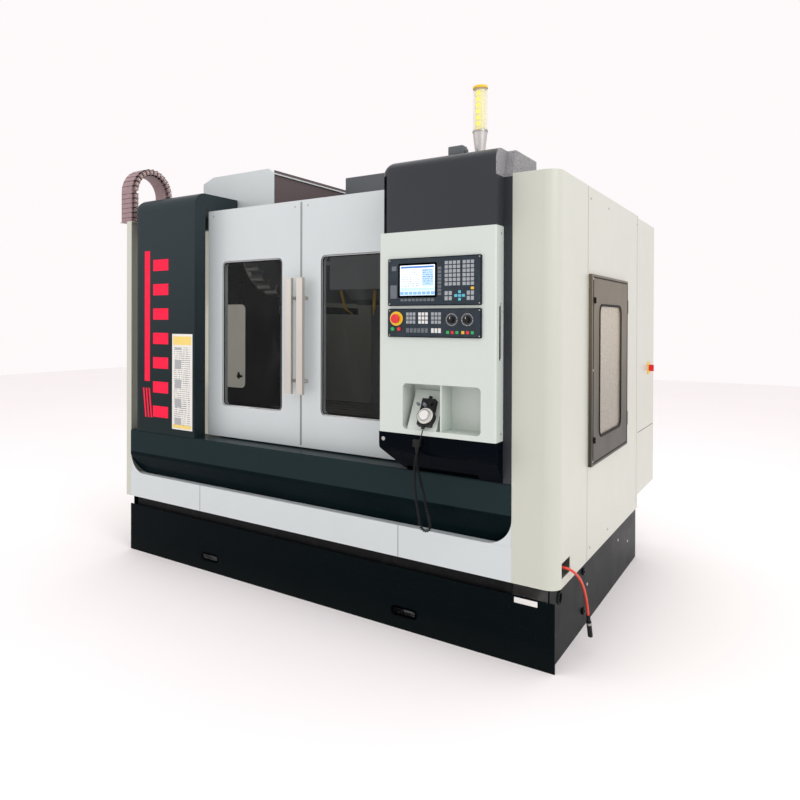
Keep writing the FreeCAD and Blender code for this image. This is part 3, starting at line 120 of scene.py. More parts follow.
class Term:
    """A shader socket that grows Math nodes when it is used in a Python expression."""

    def __init__(self, shader: "Shader", socket: bpy.types.NodeSocket) -> None:
        """Keep the socket and the shader that it belongs to."""
        self.shader = shader
        self.socket = socket

    def _math(self, operation: str, *values: Any) -> "Term":
        """Add one Math node.

        Args:
            operation: The Math node's operation.
            values: Its inputs in order, as terms or numbers.

        Returns:
            The node's result.
        """
        settings = {"operation": operation}
        return self.shader.add("ShaderNodeMath", settings, dict(enumerate(values)))

    def __add__(self, other: Any) -> "Term":
        """Add."""
        return self._math("ADD", self, other)

    def __radd__(self, other: Any) -> "Term":
        """Add, with the number first."""
        return self._math("ADD", other, self)

    def __sub__(self, other: Any) -> "Term":
        """Subtract."""
        return self._math("SUBTRACT", self, other)

    def __rsub__(self, other: Any) -> "Term":
        """Subtract from a number."""
        return self._math("SUBTRACT", other, self)

    def __mul__(self, other: Any) -> "Term":
        """Multiply."""
        return self._math("MULTIPLY", self, other)

    def __rmul__(self, other: Any) -> "Term":
        """Multiply, with the number first."""
        return self._math("MULTIPLY", other, self)

    def __truediv__(self, other: Any) -> "Term":
        """Divide."""
        return self._math("DIVIDE", self, other)

    def __rtruediv__(self, other: Any) -> "Term":
        """Divide a number."""
        return self._math("DIVIDE", other, self)

    def __pow__(self, other: Any) -> "Term":
        """Raise to a power."""
        return self._math("POWER", self, other)

    def __mod__(self, other: Any) -> "Term":
        """Wrap into a range that starts at 0."""
        return self._math("FLOORED_MODULO", self, other)

    def __gt__(self, other: Any) -> "Term":
        """Give 1 where the term is larger."""
        return self._math("GREATER_THAN", self, other)

    def __lt__(self, other: Any) -> "Term":
        """Give 1 where the term is smaller."""
        return self._math("LESS_THAN", self, other)

    def __abs__(self) -> "Term":
        """Drop the sign."""
        return self._math("ABSOLUTE", self)

    def within(self, low: float, high: float) -> "Term":
        """Give 1 between two values and 0 outside them."""
        return (self > low) * (self < high)

    def rise(self, low: float, high: float) -> "Term":
        """Climb smoothly from 0 at one value to 1 at another.

        Args:
            low: The value where the result is 0.
            high: The value where the result is 1.

        Returns:
            The climbing term.
        """
        settings = {"interpolation_type": "SMOOTHSTEP"}
        inputs = {"Value": self, "From Min": low, "From Max": high}
        return self.shader.add("ShaderNodeMapRange", settings, inputs)


class Shader:
    """One node-based material under construction."""

    def __init__(self, name: str) -> None:
        """Start a material with a Principled surface."""
        self.material = bpy.data.materials.new(name)
        self.material.use_nodes = True
        self.tree = self.material.node_tree
        self.tree.nodes.clear()
        self.surface = self.tree.nodes.new("ShaderNodeBsdfPrincipled")
        output = self.tree.nodes.new("ShaderNodeOutputMaterial")
        self.tree.links.new(self.surface.outputs["BSDF"], output.inputs["Surface"])
        self.place = self.add("ShaderNodeTexCoord", output="Object")

    def add(
        self,
        kind: str,
        settings: dict[str, Any] | None = None,
        inputs: dict[Any, Any] | None = None,
        output: int | str = 0,
    ) -> Term:
        """Add one node.

        Args:
            kind: The node's type.
            settings: Its attributes, or a ramp's "stops", set before its sockets.
            inputs: Values or terms by socket name or number.
            output: The socket to return.

        Returns:
            The node's output as a term.
        """
        node = self.tree.nodes.new(kind)
        for name, value in (settings or {}).items():
            if name == "stops":
                self._fill_ramp(node.color_ramp, value)
            else:
                setattr(node, name, value)
        for name, value in (inputs or {}).items():
            self._feed(node.inputs[name], value)
        return Term(self, node.outputs[output])

    @staticmethod
    def _fill_ramp(ramp: bpy.types.ColorRamp, stops: Sequence[tuple[float, Colour]]) -> None:
        """Write a colour ramp's stops.

        Args:
            ramp: The ramp, with its two first stops.
            stops: Position and colour pairs, at least two.
        """
        while len(ramp.elements) < len(stops):
            ramp.elements.new(1.0)
        for element, (position, colour) in zip(ramp.elements, stops):
            element.position = position
            element.color = colour

    def _feed(self, socket: bpy.types.NodeSocket, value: Any) -> None:
        """Set or link one input socket.

        Args:
            socket: The socket to fill.
            value: A term to link, or a plain value.
        """
        if isinstance(value, Term):
            self.tree.links.new(value.socket, socket)
        else:
            socket.default_value = value

    def set(self, **inputs: Any) -> "Shader":
        """Fill the surface's sockets; an underscore in a name stands for a space."""
        for name, value in inputs.items():
            self._feed(self.surface.inputs[name.replace("_", " ")], value)
        return self

    def along(self, axis: Axis) -> Term:
        """Give the place along one direction, in metres."""
        return self.add("ShaderNodeSeparateXYZ", inputs={0: self.place}, output=axis.output)

    def noise(self, scale: float, detail: float = 3.0, stretch: Point = (1, 1, 1)) -> Term:
        """Give cloudy noise around 0.5.

        Args:
            scale: Waves per metre.
            detail: How many finer octaves it has.
            stretch: Factors on the three directions, under 1 to draw it out.

        Returns:
            The noise's value.
        """
        spot = self.add("ShaderNodeMapping", inputs={"Vector": self.place, "Scale": tuple(stretch)})
        inputs = {"Vector": spot, "Scale": scale, "Detail": detail, "Roughness": 0.55}
        return self.add("ShaderNodeTexNoise", inputs=inputs)

    def mix(self, first: Any, second: Any, share: Any) -> Term:
        """Blend two colours.

        Args:
            first: The colour at share 0.
            second: The colour at share 1.
            share: A number or a term from 0 to 1.

        Returns:
            The blended colour.
        """
        inputs = {MIX_SHARE: share, MIX_FIRST: first, MIX_SECOND: second}
        return self.add("ShaderNodeMix", {"data_type": "RGBA"}, inputs, output=MIX_RESULT)

    def bump(self, height: Term, distance: float, strength: float = 1.0) -> Term:
        """Turn a height into a surface normal.

        Args:
            height: The height, about 0 to 1.
            distance: What a height of 1 stands for, in metres.
            strength: How much of it to use.

        Returns:
            The normal.
        """
        inputs = {"Height": height, "Distance": distance, "Strength": strength}
        return self.add("ShaderNodeBump", inputs=inputs)


# --- finishes -------------------------------------------------------------------------------


class Finish(Protocol):
    """What every finish offers."""

    name: str

    def material(self) -> bpy.types.Material:
        """Build its material."""


@cache
def material_of(finish: Finish) -> bpy.types.Material:
    """Build a finish's material once, for all the pieces that share it."""
    return finish.material()


@dataclass(frozen=True)
class Paint:
    """Sprayed paint on sheet steel, with slight unevenness and an orange-peel or fine grain."""

    name: str
    colour: Colour
    low_colour: Colour | None = None
    low_z: float = 0.0
    high_z: float = 1.0
    roughness: float = 0.36
    grain: float = 0.00006
    grain_scale: float = 700.0
    coat: float = 0.25
    dust: float = 0.05
    shine: float = 0.5

    def material(self) -> bpy.types.Material:
        """Build the paint's material."""
        shader = Shader(self.name)
        patches = shader.noise(2.3, 4.0)
        base: Any = self.colour
        # An optional low_colour takes over towards the bottom; on the charcoal cover and the taupe door
        # frame this darkening is painted shade.
        if self.low_colour is not None:
            height = shader.along(Axis.Z).rise(self.low_z, self.high_z)
            base = shader.mix(self.low_colour, self.colour, height)
        base = shader.mix(base, shaded(self.colour, 0.86), (patches - 0.35) * 0.5)
        specks = shader.noise(160.0, 2.0).rise(0.66, 0.74)
        base = shader.mix(base, tint(150, 146, 138), specks * self.dust)
        peel = shader.noise(self.grain_scale, 2.0)
        smudges = shader.noise(7.0, 5.0)
        shader.set(
            Base_Color=base,
            Roughness=self.roughness + (smudges - 0.5) * 0.16,
            Specular_IOR_Level=self.shine,
            Normal=shader.bump(peel, self.grain),
            Coat_Weight=self.coat,
            Coat_Roughness=0.22,
        )
        return shader.material


@dataclass(frozen=True)
class SpeckledEnd:
    """Dark paint with a pale speckled powder coat on the end face above a height; below it the end face
    stays dark as painted shade.
    """

    name: str
    colour: Colour
    end: Colour
    edge_x: float
    edge_z: float

    def material(self) -> bpy.types.Material:
        """Build the two-coat material."""
        shader = Shader(self.name)
        # Below edge_z the end face keeps the dark paint, which there is painted shade.
        zone = (shader.along(Axis.X) > self.edge_x) * (shader.along(Axis.Z) > self.edge_z)
        specks = shader.noise(420.0, 1.0).rise(0.40, 0.62)
        powder = shader.mix(self.end, tint(92, 92, 95), specks)
        patches = shader.noise(2.5, 4.0)
        dark = shader.mix(self.colour, shaded(self.colour, 0.8), patches)
        shader.set(
            Base_Color=shader.mix(dark, powder, zone),
            Roughness=0.32 + zone * 0.2 + (patches - 0.5) * 0.1,
            Specular_IOR_Level=0.2,
            Normal=shader.bump(specks, 0.00005),
        )
        return shader.material


@dataclass(frozen=True)
class Brushed:
    """Brushed or ground metal, with fine scratches along one direction."""

    name: str
    colour: Colour
    along: Axis = Axis.Z
    roughness: float = 0.32
    scratches: float = 0.00003

    def material(self) -> bpy.types.Material:
        """Build the metal's material."""
        shader = Shader(self.name)
        stretch = [0.02 if part else 1.0 for part in self.along.value]
        lines = shader.noise(900.0, 3.0, stretch)
        stains = shader.noise(9.0, 4.0)
        wear = lines * 0.45 + (stains - 0.4) * 0.3
        base = shader.mix(self.colour, shaded(self.colour, 0.72), wear)
        shader.set(
            Base_Color=base,
            Metallic=0.92,
            Roughness=self.roughness + (lines - 0.5) * 0.2,
            Normal=shader.bump(lines, self.scratches),
        )
        return shader.material


@dataclass(frozen=True)
class Milled:
    """Cast iron or steel with cutter marks in fine arcs and a film of oil."""

    name: str
    colour: Colour
    pitch: float = 0.004

    def material(self) -> bpy.types.Material:
        """Build the machined metal's material."""
        shader = Shader(self.name)
        settings = {"wave_type": "RINGS", "rings_direction": "Z"}
        inputs = {"Vector": shader.place, "Scale": 0.31 / self.pitch, "Distortion": 1.5}
        marks = shader.add("ShaderNodeTexWave", settings, inputs, output="Fac")
        oil = shader.noise(5.0, 4.0)
        wear = oil * 0.6 + marks * 0.12
        shader.set(
            Base_Color=shader.mix(self.colour, shaded(self.colour, 0.6), wear),
            Metallic=0.85,
            Roughness=0.3 + oil * 0.22,
            Normal=shader.bump(marks, 0.00004),
        )
        return shader.material


@dataclass(frozen=True)
class Moulded:
    """Moulded plastic or rubber with a fine matt grain."""

    name: str
    colour: Colour
    roughness: float = 0.45
    grain: float = 0.00005
    shine: float = 0.5

    def material(self) -> bpy.types.Material:
        """Build the plastic's material."""
        shader = Shader(self.name)
        grain = shader.noise(1400.0, 2.0)
        rubbed = shader.noise(26.0, 3.0)
        worn = tuple(min(1.0, part * 1.25 + 0.012) for part in self.colour[:3]) + (1.0,)
        shader.set(
            Base_Color=shader.mix(self.colour, worn, rubbed.rise(0.45, 0.75) * 0.5),
            Roughness=self.roughness + (rubbed - 0.5) * 0.14,
            Specular_IOR_Level=self.shine,
            Normal=shader.bump(grain, self.grain),
        )
        return shader.material


@dataclass(frozen=True)
class Glazing:
    """A clear or tinted pane with faint wiping marks."""

    name: str
    colour: Colour
    alpha: float = 0.35
    roughness: float = 0.04
    shine: float = 0.5

    def material(self) -> bpy.types.Material:
        """Build the pane's material."""
        shader = Shader(self.name)
        wipes = shader.noise(14.0, 5.0, (1.0, 1.0, 0.25))
        veil = wipes.rise(0.5, 0.8)
        shader.set(
            Base_Color=shader.mix(self.colour, tint(120, 126, 128), veil * 0.18),
            Roughness=self.roughness + veil * 0.05,
            Alpha=self.alpha + veil * 0.05,
            Specular_IOR_Level=self.shine,
        )
        return shader.material


@dataclass(frozen=True)
class SpeckledPane:
    """A hazy pane with dried splashes, darker towards its lower edge."""

    name: str
    colour: Colour
    low: Colour
    low_z: float
    high_z: float

    def material(self) -> bpy.types.Material:
        """Build the hazy pane's material."""
        shader = Shader(self.name)
        inputs = {"Vector": shader.place, "Scale": 75.0, "Randomness": 1.0}
        cells = shader.add("ShaderNodeTexVoronoi", inputs=inputs, output="Distance")
        drops = 1 - cells.rise(0.10, 0.28)
        clouds = shader.noise(4.5, 6.0)
        height = shader.along(Axis.Z).rise(self.low_z, self.high_z)
        haze = shader.mix(self.low, self.colour, height * 0.7 + clouds * 0.3)
        shader.set(
            Base_Color=shader.mix(haze, tint(222, 216, 202), drops * clouds * 0.8),
            Roughness=0.16 + clouds * 0.2,
            Alpha=0.82 + drops * 0.12,
            Normal=shader.bump(drops, 0.00015),
        )
        return shader.material


@dataclass(frozen=True)
class TwoZones:
    """Two paints on one folded sheet, parted by place; the near one glows a little as painted light."""

    name: str
    near: Colour
    rest: Colour
    edge_x: float
    edge_y: float
    painted_glow: float = 0.35
    roughness: float = 0.45

    def material(self) -> bpy.types.Material:
        """Build the two-tone material."""
        shader = Shader(self.name)
        zone = (shader.along(Axis.X) < self.edge_x) * (shader.along(Axis.Y) < self.edge_y)
        stains = shader.noise(6.0, 5.0)
        rest = shader.mix(self.rest, tint(72, 72, 70), stains.rise(0.5, 0.8) * 0.3)
        base = shader.mix(rest, self.near, zone)
        shader.set(
            Base_Color=base,
            # Painted light: the near zone glows so that the shutter panel looks lit.
            Emission_Color=shader.mix(tint(0, 0, 0), self.near, zone),
            Emission_Strength=self.painted_glow,
            Roughness=self.roughness + (stains - 0.5) * 0.2,
            Normal=shader.bump(shader.noise(700.0), 0.00005),
        )
        return shader.material


@dataclass(frozen=True)
class LampPole:
    """The lamp's turned metal foot below, and its glowing column of lights above."""

    name: str
    split_z: float
    middle_x: float
    pitch: float = 0.026

    def material(self) -> bpy.types.Material:
        """Build the foot and column's material."""
        shader = Shader(self.name)
        height = shader.along(Axis.Z)
        upper = height > self.split_z
        ring = ((height / self.pitch) % 1.0).within(0.18, 0.80) * upper
        lines = shader.noise(700.0, 3.0, (1.0, 1.0, 0.03))
        steel = shader.mix(tint(214, 212, 208), tint(128, 128, 128), lines * 0.5)
        frame = shader.mix(steel, tint(240, 236, 168), upper)
        strip = (shader.along(Axis.X) - self.middle_x + 0.002).within(-0.011, 0.009) * ring
        shader.set(
            Base_Color=shader.mix(frame, tint(252, 216, 20), strip),
            Metallic=(1 - upper) * 0.8,
            Roughness=0.30 + lines * 0.1,
            Emission_Color=shader.mix(tint(0, 0, 0), tint(255, 216, 10), strip),
            Emission_Strength=0.55,
        )
        return shader.material


@dataclass(frozen=True)
class ScreenImage:
    """A lit display: a pale page with a header, rows of plain bars, a side column and soft keys."""

    name: str
    left: float
    low: float
    width: float
    height: float

    def material(self) -> bpy.types.Material:
        """Build the display's material."""
        shader = Shader(self.name)
        u = (shader.along(Axis.X) - self.left) / self.width
        v = (shader.along(Axis.Z) - self.low) / self.height
        page = shader.mix(tint(206, 228, 240), tint(240, 248, 252), v)
        header = v.within(0.90, 0.965) * u.within(0.03, 0.97)
        page = shader.mix(page, tint(62, 112, 190), header)
        rows = ((v * 14) % 1.0).within(0.34, 0.66) * v.within(0.30, 0.86)
        words = (shader.noise(420.0, 0.0, (1.0, 1.0, 0.08)) > 0.50) * u.within(0.06, 0.56)
        page = shader.mix(page, tint(84, 104, 132), rows * words)
        side = u.within(0.64, 0.95) * v.within(0.32, 0.86)
        page = shader.mix(page, tint(168, 202, 232), side)
        page = shader.mix(page, tint(70, 108, 168), side * rows * (shader.noise(300.0, 0.0) > 0.5))
        keys = ((u * 8) % 1.0).within(0.08, 0.92) * v.within(0.03, 0.13)
        page = shader.mix(page, tint(120, 168, 218), keys)
        bar = v.within(0.17, 0.25) * u.within(0.03, 0.97)
        page = shader.mix(page, tint(178, 212, 236), bar)
        face = u.within(0.005, 0.995) * v.within(0.005, 0.995)
        page = shader.mix(tint(24, 30, 34), page, face)
        shader.set(
            Base_Color=page,
            Roughness=0.22,
            Emission_Color=page,
            Emission_Strength=0.35,
            Coat_Weight=0.3,
        )
        return shader.material


@dataclass(frozen=True)
class PrintedPlate:
    """A plain printed plate: a coloured head, grey rows that stand for small print, and a foot."""

    name: str
    left: float
    low: float
    width: float
    height: float
    head: Colour

    def material(self) -> bpy.types.Material:
        """Build the plate's material."""
        shader = Shader(self.name)
        u = (shader.along(Axis.X) - self.left) / self.width
        v = (shader.along(Axis.Z) - self.low) / self.height
        page: Any = tint(226, 226, 220)
        rows = ((v * 46) % 1.0).within(0.3, 0.62)
        words = shader.noise(260.0, 1.0, (1.0, 1.0, 0.05)) > 0.47
        body = u.within(0.10, 0.90) * v.within(0.05, 0.86)
        page = shader.mix(page, tint(112, 112, 110), rows * words * body)
        panes = ((v * 5) % 1.0).within(0.16, 0.62) * u.within(0.14, 0.46) * body
        page = shader.mix(page, tint(164, 166, 168), panes)
        page = shader.mix(page, self.head, v.within(0.885, 0.975) * u.within(0.05, 0.95))
        page = shader.mix(page, self.head, v.within(0.015, 0.05) * u.within(0.05, 0.95))
        shader.set(Base_Color=page, Roughness=0.4 + shader.noise(20.0) * 0.1)
        return shader.material


@dataclass(frozen=True)
class DialFace:
    """A round scale with ticks about its centre, on a face that looks to the front."""

    name: str
    centre_x: float
    centre_z: float
    radius: float
    ground: Colour
    marks: Colour
    ticks: int = 24

    def material(self) -> bpy.types.Material:
        """Build the scale's material."""
        shader = Shader(self.name)
        x = shader.along(Axis.X) - self.centre_x
        z = shader.along(Axis.Z) - self.centre_z
        angle = shader.add("ShaderNodeMath", {"operation": "ARCTAN2"}, {0: z, 1: x})
        reach = (x * x + z * z) ** 0.5 / self.radius
        fan = ((angle * (self.ticks / math.tau)) % 1.0).within(0.36, 0.64)
        ticks = fan * reach.within(0.80, 0.94)
        base = shader.mix(self.ground, self.marks, ticks)
        shader.set(Base_Color=base, Roughness=0.42 + shader.noise(60.0) * 0.08)
        return shader.material


# --- shaping --------------------------------------------------------------------------------


def standing(foot: Point, along: Point) -> Matrix:
    """Give the pose that moves the origin to a point and turns the Z direction along a line."""
    turn = Vector(along).to_track_quat("Z", "Y").to_matrix().to_4x4()
    return Matrix.Translation(Vector(foot)) @ turn


class Form:
    """One mesh piece, shaped with bmesh operators in the machine's frame."""

    def __init__(self, name: str) -> None:
        """Start an empty piece."""
        self.name = name
        self.mesh = bmesh.new()

    @staticmethod
    def _soften(mesh: bmesh.types.BMesh, verts: Iterable[Any], edge: float, steps: int) -> None:
        """Bevel the sharp edges of a new shape.

        Args:
            mesh: The mesh that holds it.
            verts: The shape's vertices.
            edge: The bevel's width, or 0 to leave the edges.
            steps: The bevel's segments.
        """
        if edge <= 0:
            return
        edges = {
            line
            for vert in verts
            for line in vert.link_edges
            if line.is_manifold and line.calc_face_angle() > SHARP_ANGLE
        }
        bmesh.ops.bevel(
            mesh,
            geom=list(edges),
            offset=edge,
            affect="EDGES",
            segments=steps,
            profile=0.5,
            material=-1,
        )

    def _take(self, shell: bmesh.types.BMesh, pose: Matrix) -> "Form":
        """Close a separately made shell, put it in place and add it to the piece.

        Args:
            shell: The shell, which is used up.
            pose: Its place.

        Returns:
            The same piece.
        """
        bmesh.ops.remove_doubles(shell, verts=shell.verts, dist=MERGE_DISTANCE)
        bmesh.ops.recalc_face_normals(shell, faces=shell.faces)
        bmesh.ops.transform(shell, matrix=pose, verts=shell.verts)
        data = bpy.data.meshes.new(self.name)
        shell.to_mesh(data)
        shell.free()
        self.mesh.from_mesh(data)
        bpy.data.meshes.remove(data)
        return self

    def block(
        self, low: Point, high: Point, edge: float = 0.0, steps: int = 2, turn: Matrix | None = None
    ) -> "Form":
        """Add a box between two corners.

        Args:
            low: Its lowest corner.
            high: Its highest corner.
            edge: The width of its bevels.
            steps: The bevels' segments.
            turn: A rotation about its middle.

        Returns:
            The same piece.
        """
        middle = (Vector(low) + Vector(high)) / 2
        extent = Vector(high) - Vector(low)
        turn = turn or Matrix.Identity(4)
        pose = Matrix.Translation(middle) @ turn @ Matrix.Diagonal((*extent, 1.0))
        made = bmesh.ops.create_cube(self.mesh, size=1.0, matrix=pose)
        self._soften(self.mesh, made["verts"], edge, steps)
        return self

    def rod(
        self,
        foot: Point,
        top: Point,
        radius: float,
        top_radius: float | None = None,
        sides: int = 32,
        edge: float = 0.0,
    ) -> "Form":
        """Add a rod or cone between two points.

        Args:
            foot: The middle of its first end.
            top: The middle of its other end.
            radius: Its radius at the foot.
            top_radius: Its radius at the top, if it differs.
            sides: The number of its sides.
            edge: The width of its end bevels.

        Returns:
            The same piece.
        """
        run = Vector(top) - Vector(foot)
        pose = standing((Vector(foot) + Vector(top)) / 2, run)
        made = bmesh.ops.create_cone(
            self.mesh,
            cap_ends=True,
            segments=sides,
            radius1=radius,
            radius2=radius if top_radius is None else top_radius,
            depth=run.length,
            matrix=pose,
        )
        self._soften(self.mesh, made["verts"], edge, 2)
        return self

    def turned(
        self, outline: Sequence[tuple[float, float]], foot: Point, along: Point, sides: int = 40
    ) -> "Form":
        """Add a shape turned round a line.

        Args:
            outline: Radius and height pairs from one end to the other.
            foot: Where height 0 lies on the line.
            along: The line's direction.
            sides: The number of its sides.

        Returns:
            The same piece.
        """
        pose = standing(foot, along)
        shell = bmesh.new()
        verts = [shell.verts.new((radius, 0, height)) for radius, height in outline]
        lines = [shell.edges.new(pair) for pair in zip(verts, verts[1:])]
        bmesh.ops.spin(
            shell,
            geom=verts + lines,
            cent=(0, 0, 0),
            axis=(0, 0, 1),
            angle=math.tau,
            steps=sides,
            use_merge=True,
        )
        return self._take(shell, pose)

    def border(
        self,
        middle: Point,
        width: float,
        height: float,
        band: float,
        depth: float,
        corner: float,
        facing: Axis = Axis.Y,
        edge: float = 0.0,
    ) -> "Form":
        """Add a flat ring with rounded corners, such as a window's seal.

        Args:
            middle: The middle of the ring's inner side, on the surface it lies on.
            width: Its outer width.
            height: Its outer height.
            band: How wide the ring's band is.
            depth: How thick it is; negative grows towards lower values of the axis.
            corner: Its outer corner radius.
            facing: The direction across it.
            edge: The width of its bevels.

        Returns:
            The same piece.
        """
        quarter = math.radians(90)
        upright = {
            Axis.X: Matrix.Rotation(quarter, 4, "Z") @ Matrix.Rotation(quarter, 4, "X"),
            Axis.Y: Matrix.Rotation(quarter, 4, "X") @ Matrix.Diagonal((1, 1, -1, 1)),
            Axis.Z: Matrix.Identity(4),
        }[facing]
        shell = bmesh.new()
        made = bmesh.ops.create_grid(
            shell, x_segments=1, y_segments=1, size=0.5, matrix=Matrix.Diagonal((width, height, 1, 1))
        )
        bmesh.ops.bevel(
            shell,
            geom=made["verts"],
            offset=corner,
            affect="VERTICES",
            segments=6,
            profile=0.5,
            material=-1,
        )
        face = max(shell.faces, key=lambda item: item.calc_area())
        bmesh.ops.inset_individual(shell, faces=[face], thickness=band)
        bmesh.ops.delete(shell, geom=[face], context="FACES")
        grown = bmesh.ops.extrude_face_region(shell, geom=list(shell.faces), use_keep_orig=True)
        lifted = [item for item in grown["geom"] if isinstance(item, bmesh.types.BMVert)]
        bmesh.ops.translate(shell, vec=(0, 0, depth), verts=lifted)
        self._soften(shell, list(shell.verts), edge, 2)
        return self._take(shell, Matrix.Translation(Vector(middle)) @ upright)

    def tilt(self, angle: float, about: Point, axis: str) -> "Form":
        """Turn the whole piece.

        Args:
            angle: The turn in degrees.
            about: A point that stays.
            axis: The direction to turn about, as a letter.

        Returns:
            The same piece.
        """
        bmesh.ops.rotate(
            self.mesh,
            cent=Vector(about),
            matrix=Matrix.Rotation(math.radians(angle), 3, axis),
            verts=self.mesh.verts,
        )
        return self

    def place(self, finish: Finish, body: str, slot: str | None = None) -> bpy.types.Object:
        """Make the piece an object that rides on a body.

        Args:
            finish: Its finish.
            body: The body it moves with.
            slot: The record's material slot; not used.

        Returns:
            The new object.
        """
        data = bpy.data.meshes.new(self.name)
        self.mesh.to_mesh(data)
        self.mesh.free()
        data.shade_smooth()
        data.set_sharp_from_angle(angle=SMOOTH_ANGLE)
        data.materials.append(material_of(finish))
        item = bpy.data.objects.new(self.name, data)
        bpy.context.scene.collection.objects.link(item)
        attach(item, body)
        LOG.info("%s: %d faces, rides on %s", self.name, len(data.polygons), body)
        return item


def dress(finish: Finish, *nodes: str) -> None:
    """Give CAD nodes a finish.

    Args:
        finish: The finish.
        nodes: The nodes' names.
    """
    for name in nodes:
        data = frame["nodes"][name].data
        data.materials.clear()
        data.materials.append(material_of(finish))
        LOG.info("%s: finished as %s", name, finish.name)


def node_box(name: str) -> tuple[Vector, Vector]:
    """Give a CAD node's lowest and highest corners."""
    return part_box(name)


# --- finishes of this machine -----------------------------------------------------------------

WHITE = Paint("white_door_paint", tint(201, 209, 210))
BOX_WHITE = Paint("white_control_paint", tint(202, 211, 204))
# A warmer copy of the door white for walls, pillars and cabinet: the white is the paint, the warm tint is
# painted warm light.
WARM_LIT_WHITE = Paint("white_paint_and_painted_warm_light", tint(195, 198, 186), grain=0.00008)
SEAM = Moulded("grey_seam_filler", tint(118, 122, 118), 0.6)
# A paler white for the windows' raised rims: painted highlight.
RIM_HIGHLIGHT = Paint("rim_painted_highlight", tint(226, 230, 230))
# The column cover darkens from high_z down to low_z: painted shade.
CHARCOAL = Paint(
    "charcoal_column_paint",
    tint(46, 56, 60),
    low_colour=tint(26, 38, 40),
    low_z=0.72,
    high_z=2.05,
    roughness=0.3,
    grain=0.00003,
    coat=0.0,
    shine=0.08,
    dust=0.02,
)
HOOD = SpeckledEnd("charcoal_hood_paint", tint(52, 56, 60), tint(164, 164, 166), 1.042, 1.935)
BAND = Paint(
    "black_band_paint",
    tint(33, 46, 49),
    low_colour=tint(2, 15, 19),
    low_z=0.586,
    high_z=0.592,
    roughness=0.24,
    grain=0.00002,
    coat=0.0,
    shine=0.03,
    dust=0.02,
)
BASE = Paint(
    "black_base_paint",
    tint(5, 13, 16),
    low_colour=tint(14, 19, 20),
    low_z=0.0,
    high_z=0.12,
    roughness=0.3,
    coat=0.0,
    shine=0.03,
    dust=0.05,
)
APRON = Paint(
    "black_apron_paint", tint(2, 6, 13), roughness=0.24, grain=0.00002, coat=0.0, shine=0.03, dust=0.02
)
GREY = Paint("grey_roof_paint", tint(92, 97, 100), roughness=0.42, coat=0.0, shine=0.3)
TRAY = Paint("dark_tray_paint", tint(40, 43, 45), roughness=0.4, coat=0.0, shine=0.3, dust=0.2)
# Dark brown-grey for the magazine cover's open end: painted shade.
COVER_END_SHADE = Paint("cover_end_painted_shade", tint(98, 86, 88), roughness=0.5, coat=0.0, shine=0.2)
CASTING = Paint("casting_paint", tint(126, 131, 131), roughness=0.38, grain=0.0003, grain_scale=260)
# The side door frame darkens from high_z down to low_z: painted shade.
TAUPE = Paint(
    "taupe_door_paint",
    tint(104, 96, 80),
    low_colour=tint(62, 60, 53),
    low_z=0.75,
    high_z=1.5,
    roughness=0.42,
    grain=0.00012,
    coat=0.0,
    shine=0.2,
)
STEEL_Z = Brushed("brushed_handle_steel", tint(206, 202, 194), Axis.Z)
STEEL_X = Brushed("ground_rail_steel", tint(168, 170, 172), Axis.X, 0.24)
STEEL_PLAIN = Brushed("zinc_steel", tint(178, 178, 172), Axis.Y, 0.4)
IRON = Milled("machined_iron", tint(112, 112, 108))
TOOL_STEEL = Milled("dark_tool_steel", tint(74, 76, 78), 0.0015)
BLACK_PLASTIC = Moulded("black_plastic", tint(15, 16, 18), shine=0.25)
SEAL = Moulded("black_seal_rubber", tint(13, 14, 15), 0.6, 0.0001, 0.15)
PANEL = Moulded("membrane_panel", tint(40, 50, 58), 0.4, 0.00003, 0.2)
KEY_GREY = Moulded("grey_key_plastic", tint(150, 157, 162), 0.42)
KEY_DARK = Moulded("dark_key_plastic", tint(92, 100, 106), 0.42)
KEY_BLUE = Moulded("blue_key_plastic", tint(86, 176, 196), 0.4)
KEY_YELLOW = Moulded("yellow_key_plastic", tint(222, 178, 52), 0.4)
KEY_WHITE = Moulded("white_key_plastic", tint(214, 216, 214), 0.42)
RED = Moulded("red_plastic", tint(214, 30, 44), 0.32)
GREEN = Moulded("green_plastic", tint(32, 166, 84), 0.32)
YELLOW = Moulded("yellow_plastic", tint(236, 190, 34), 0.36)
SIGN_RED = Moulded("red_film", tint(246, 28, 68), 0.3, 0.00001, 0.1)
CHAIN = Moulded("cable_chain_plastic", tint(152, 128, 130), 0.5, 0.0002, 0.3)
PIN = Moulded("cream_pin_plastic", tint(226, 216, 176), 0.4)
# Pale wheel plastic: the wheel's outer ring is pale, the white of its centre is a painted highlight.
PALE_WHEEL_AND_HIGHLIGHT = Moulded("pendant_plastic", tint(222, 222, 216), 0.4)
LEAD = Moulded("coiled_lead_rubber", tint(5, 5, 7), 0.34, shine=0.3)
HOSE = Moulded("red_hose_rubber", tint(216, 62, 40), 0.3, 0.00002)
BRASS = Brushed("brass_fitting", tint(196, 162, 92), Axis.Z, 0.3)
ALUMINIUM = Brushed("turned_aluminium", tint(176, 178, 180), Axis.X, 0.35)
WINDOW = Glazing("tinted_window", tint(8, 11, 13), 0.30, 0.03, 0.22)
CLEAR = Glazing("clear_lamp_tube", tint(240, 238, 214), 0.16, 0.06)


# --- free lines, made first -------------------------------------------------------------------


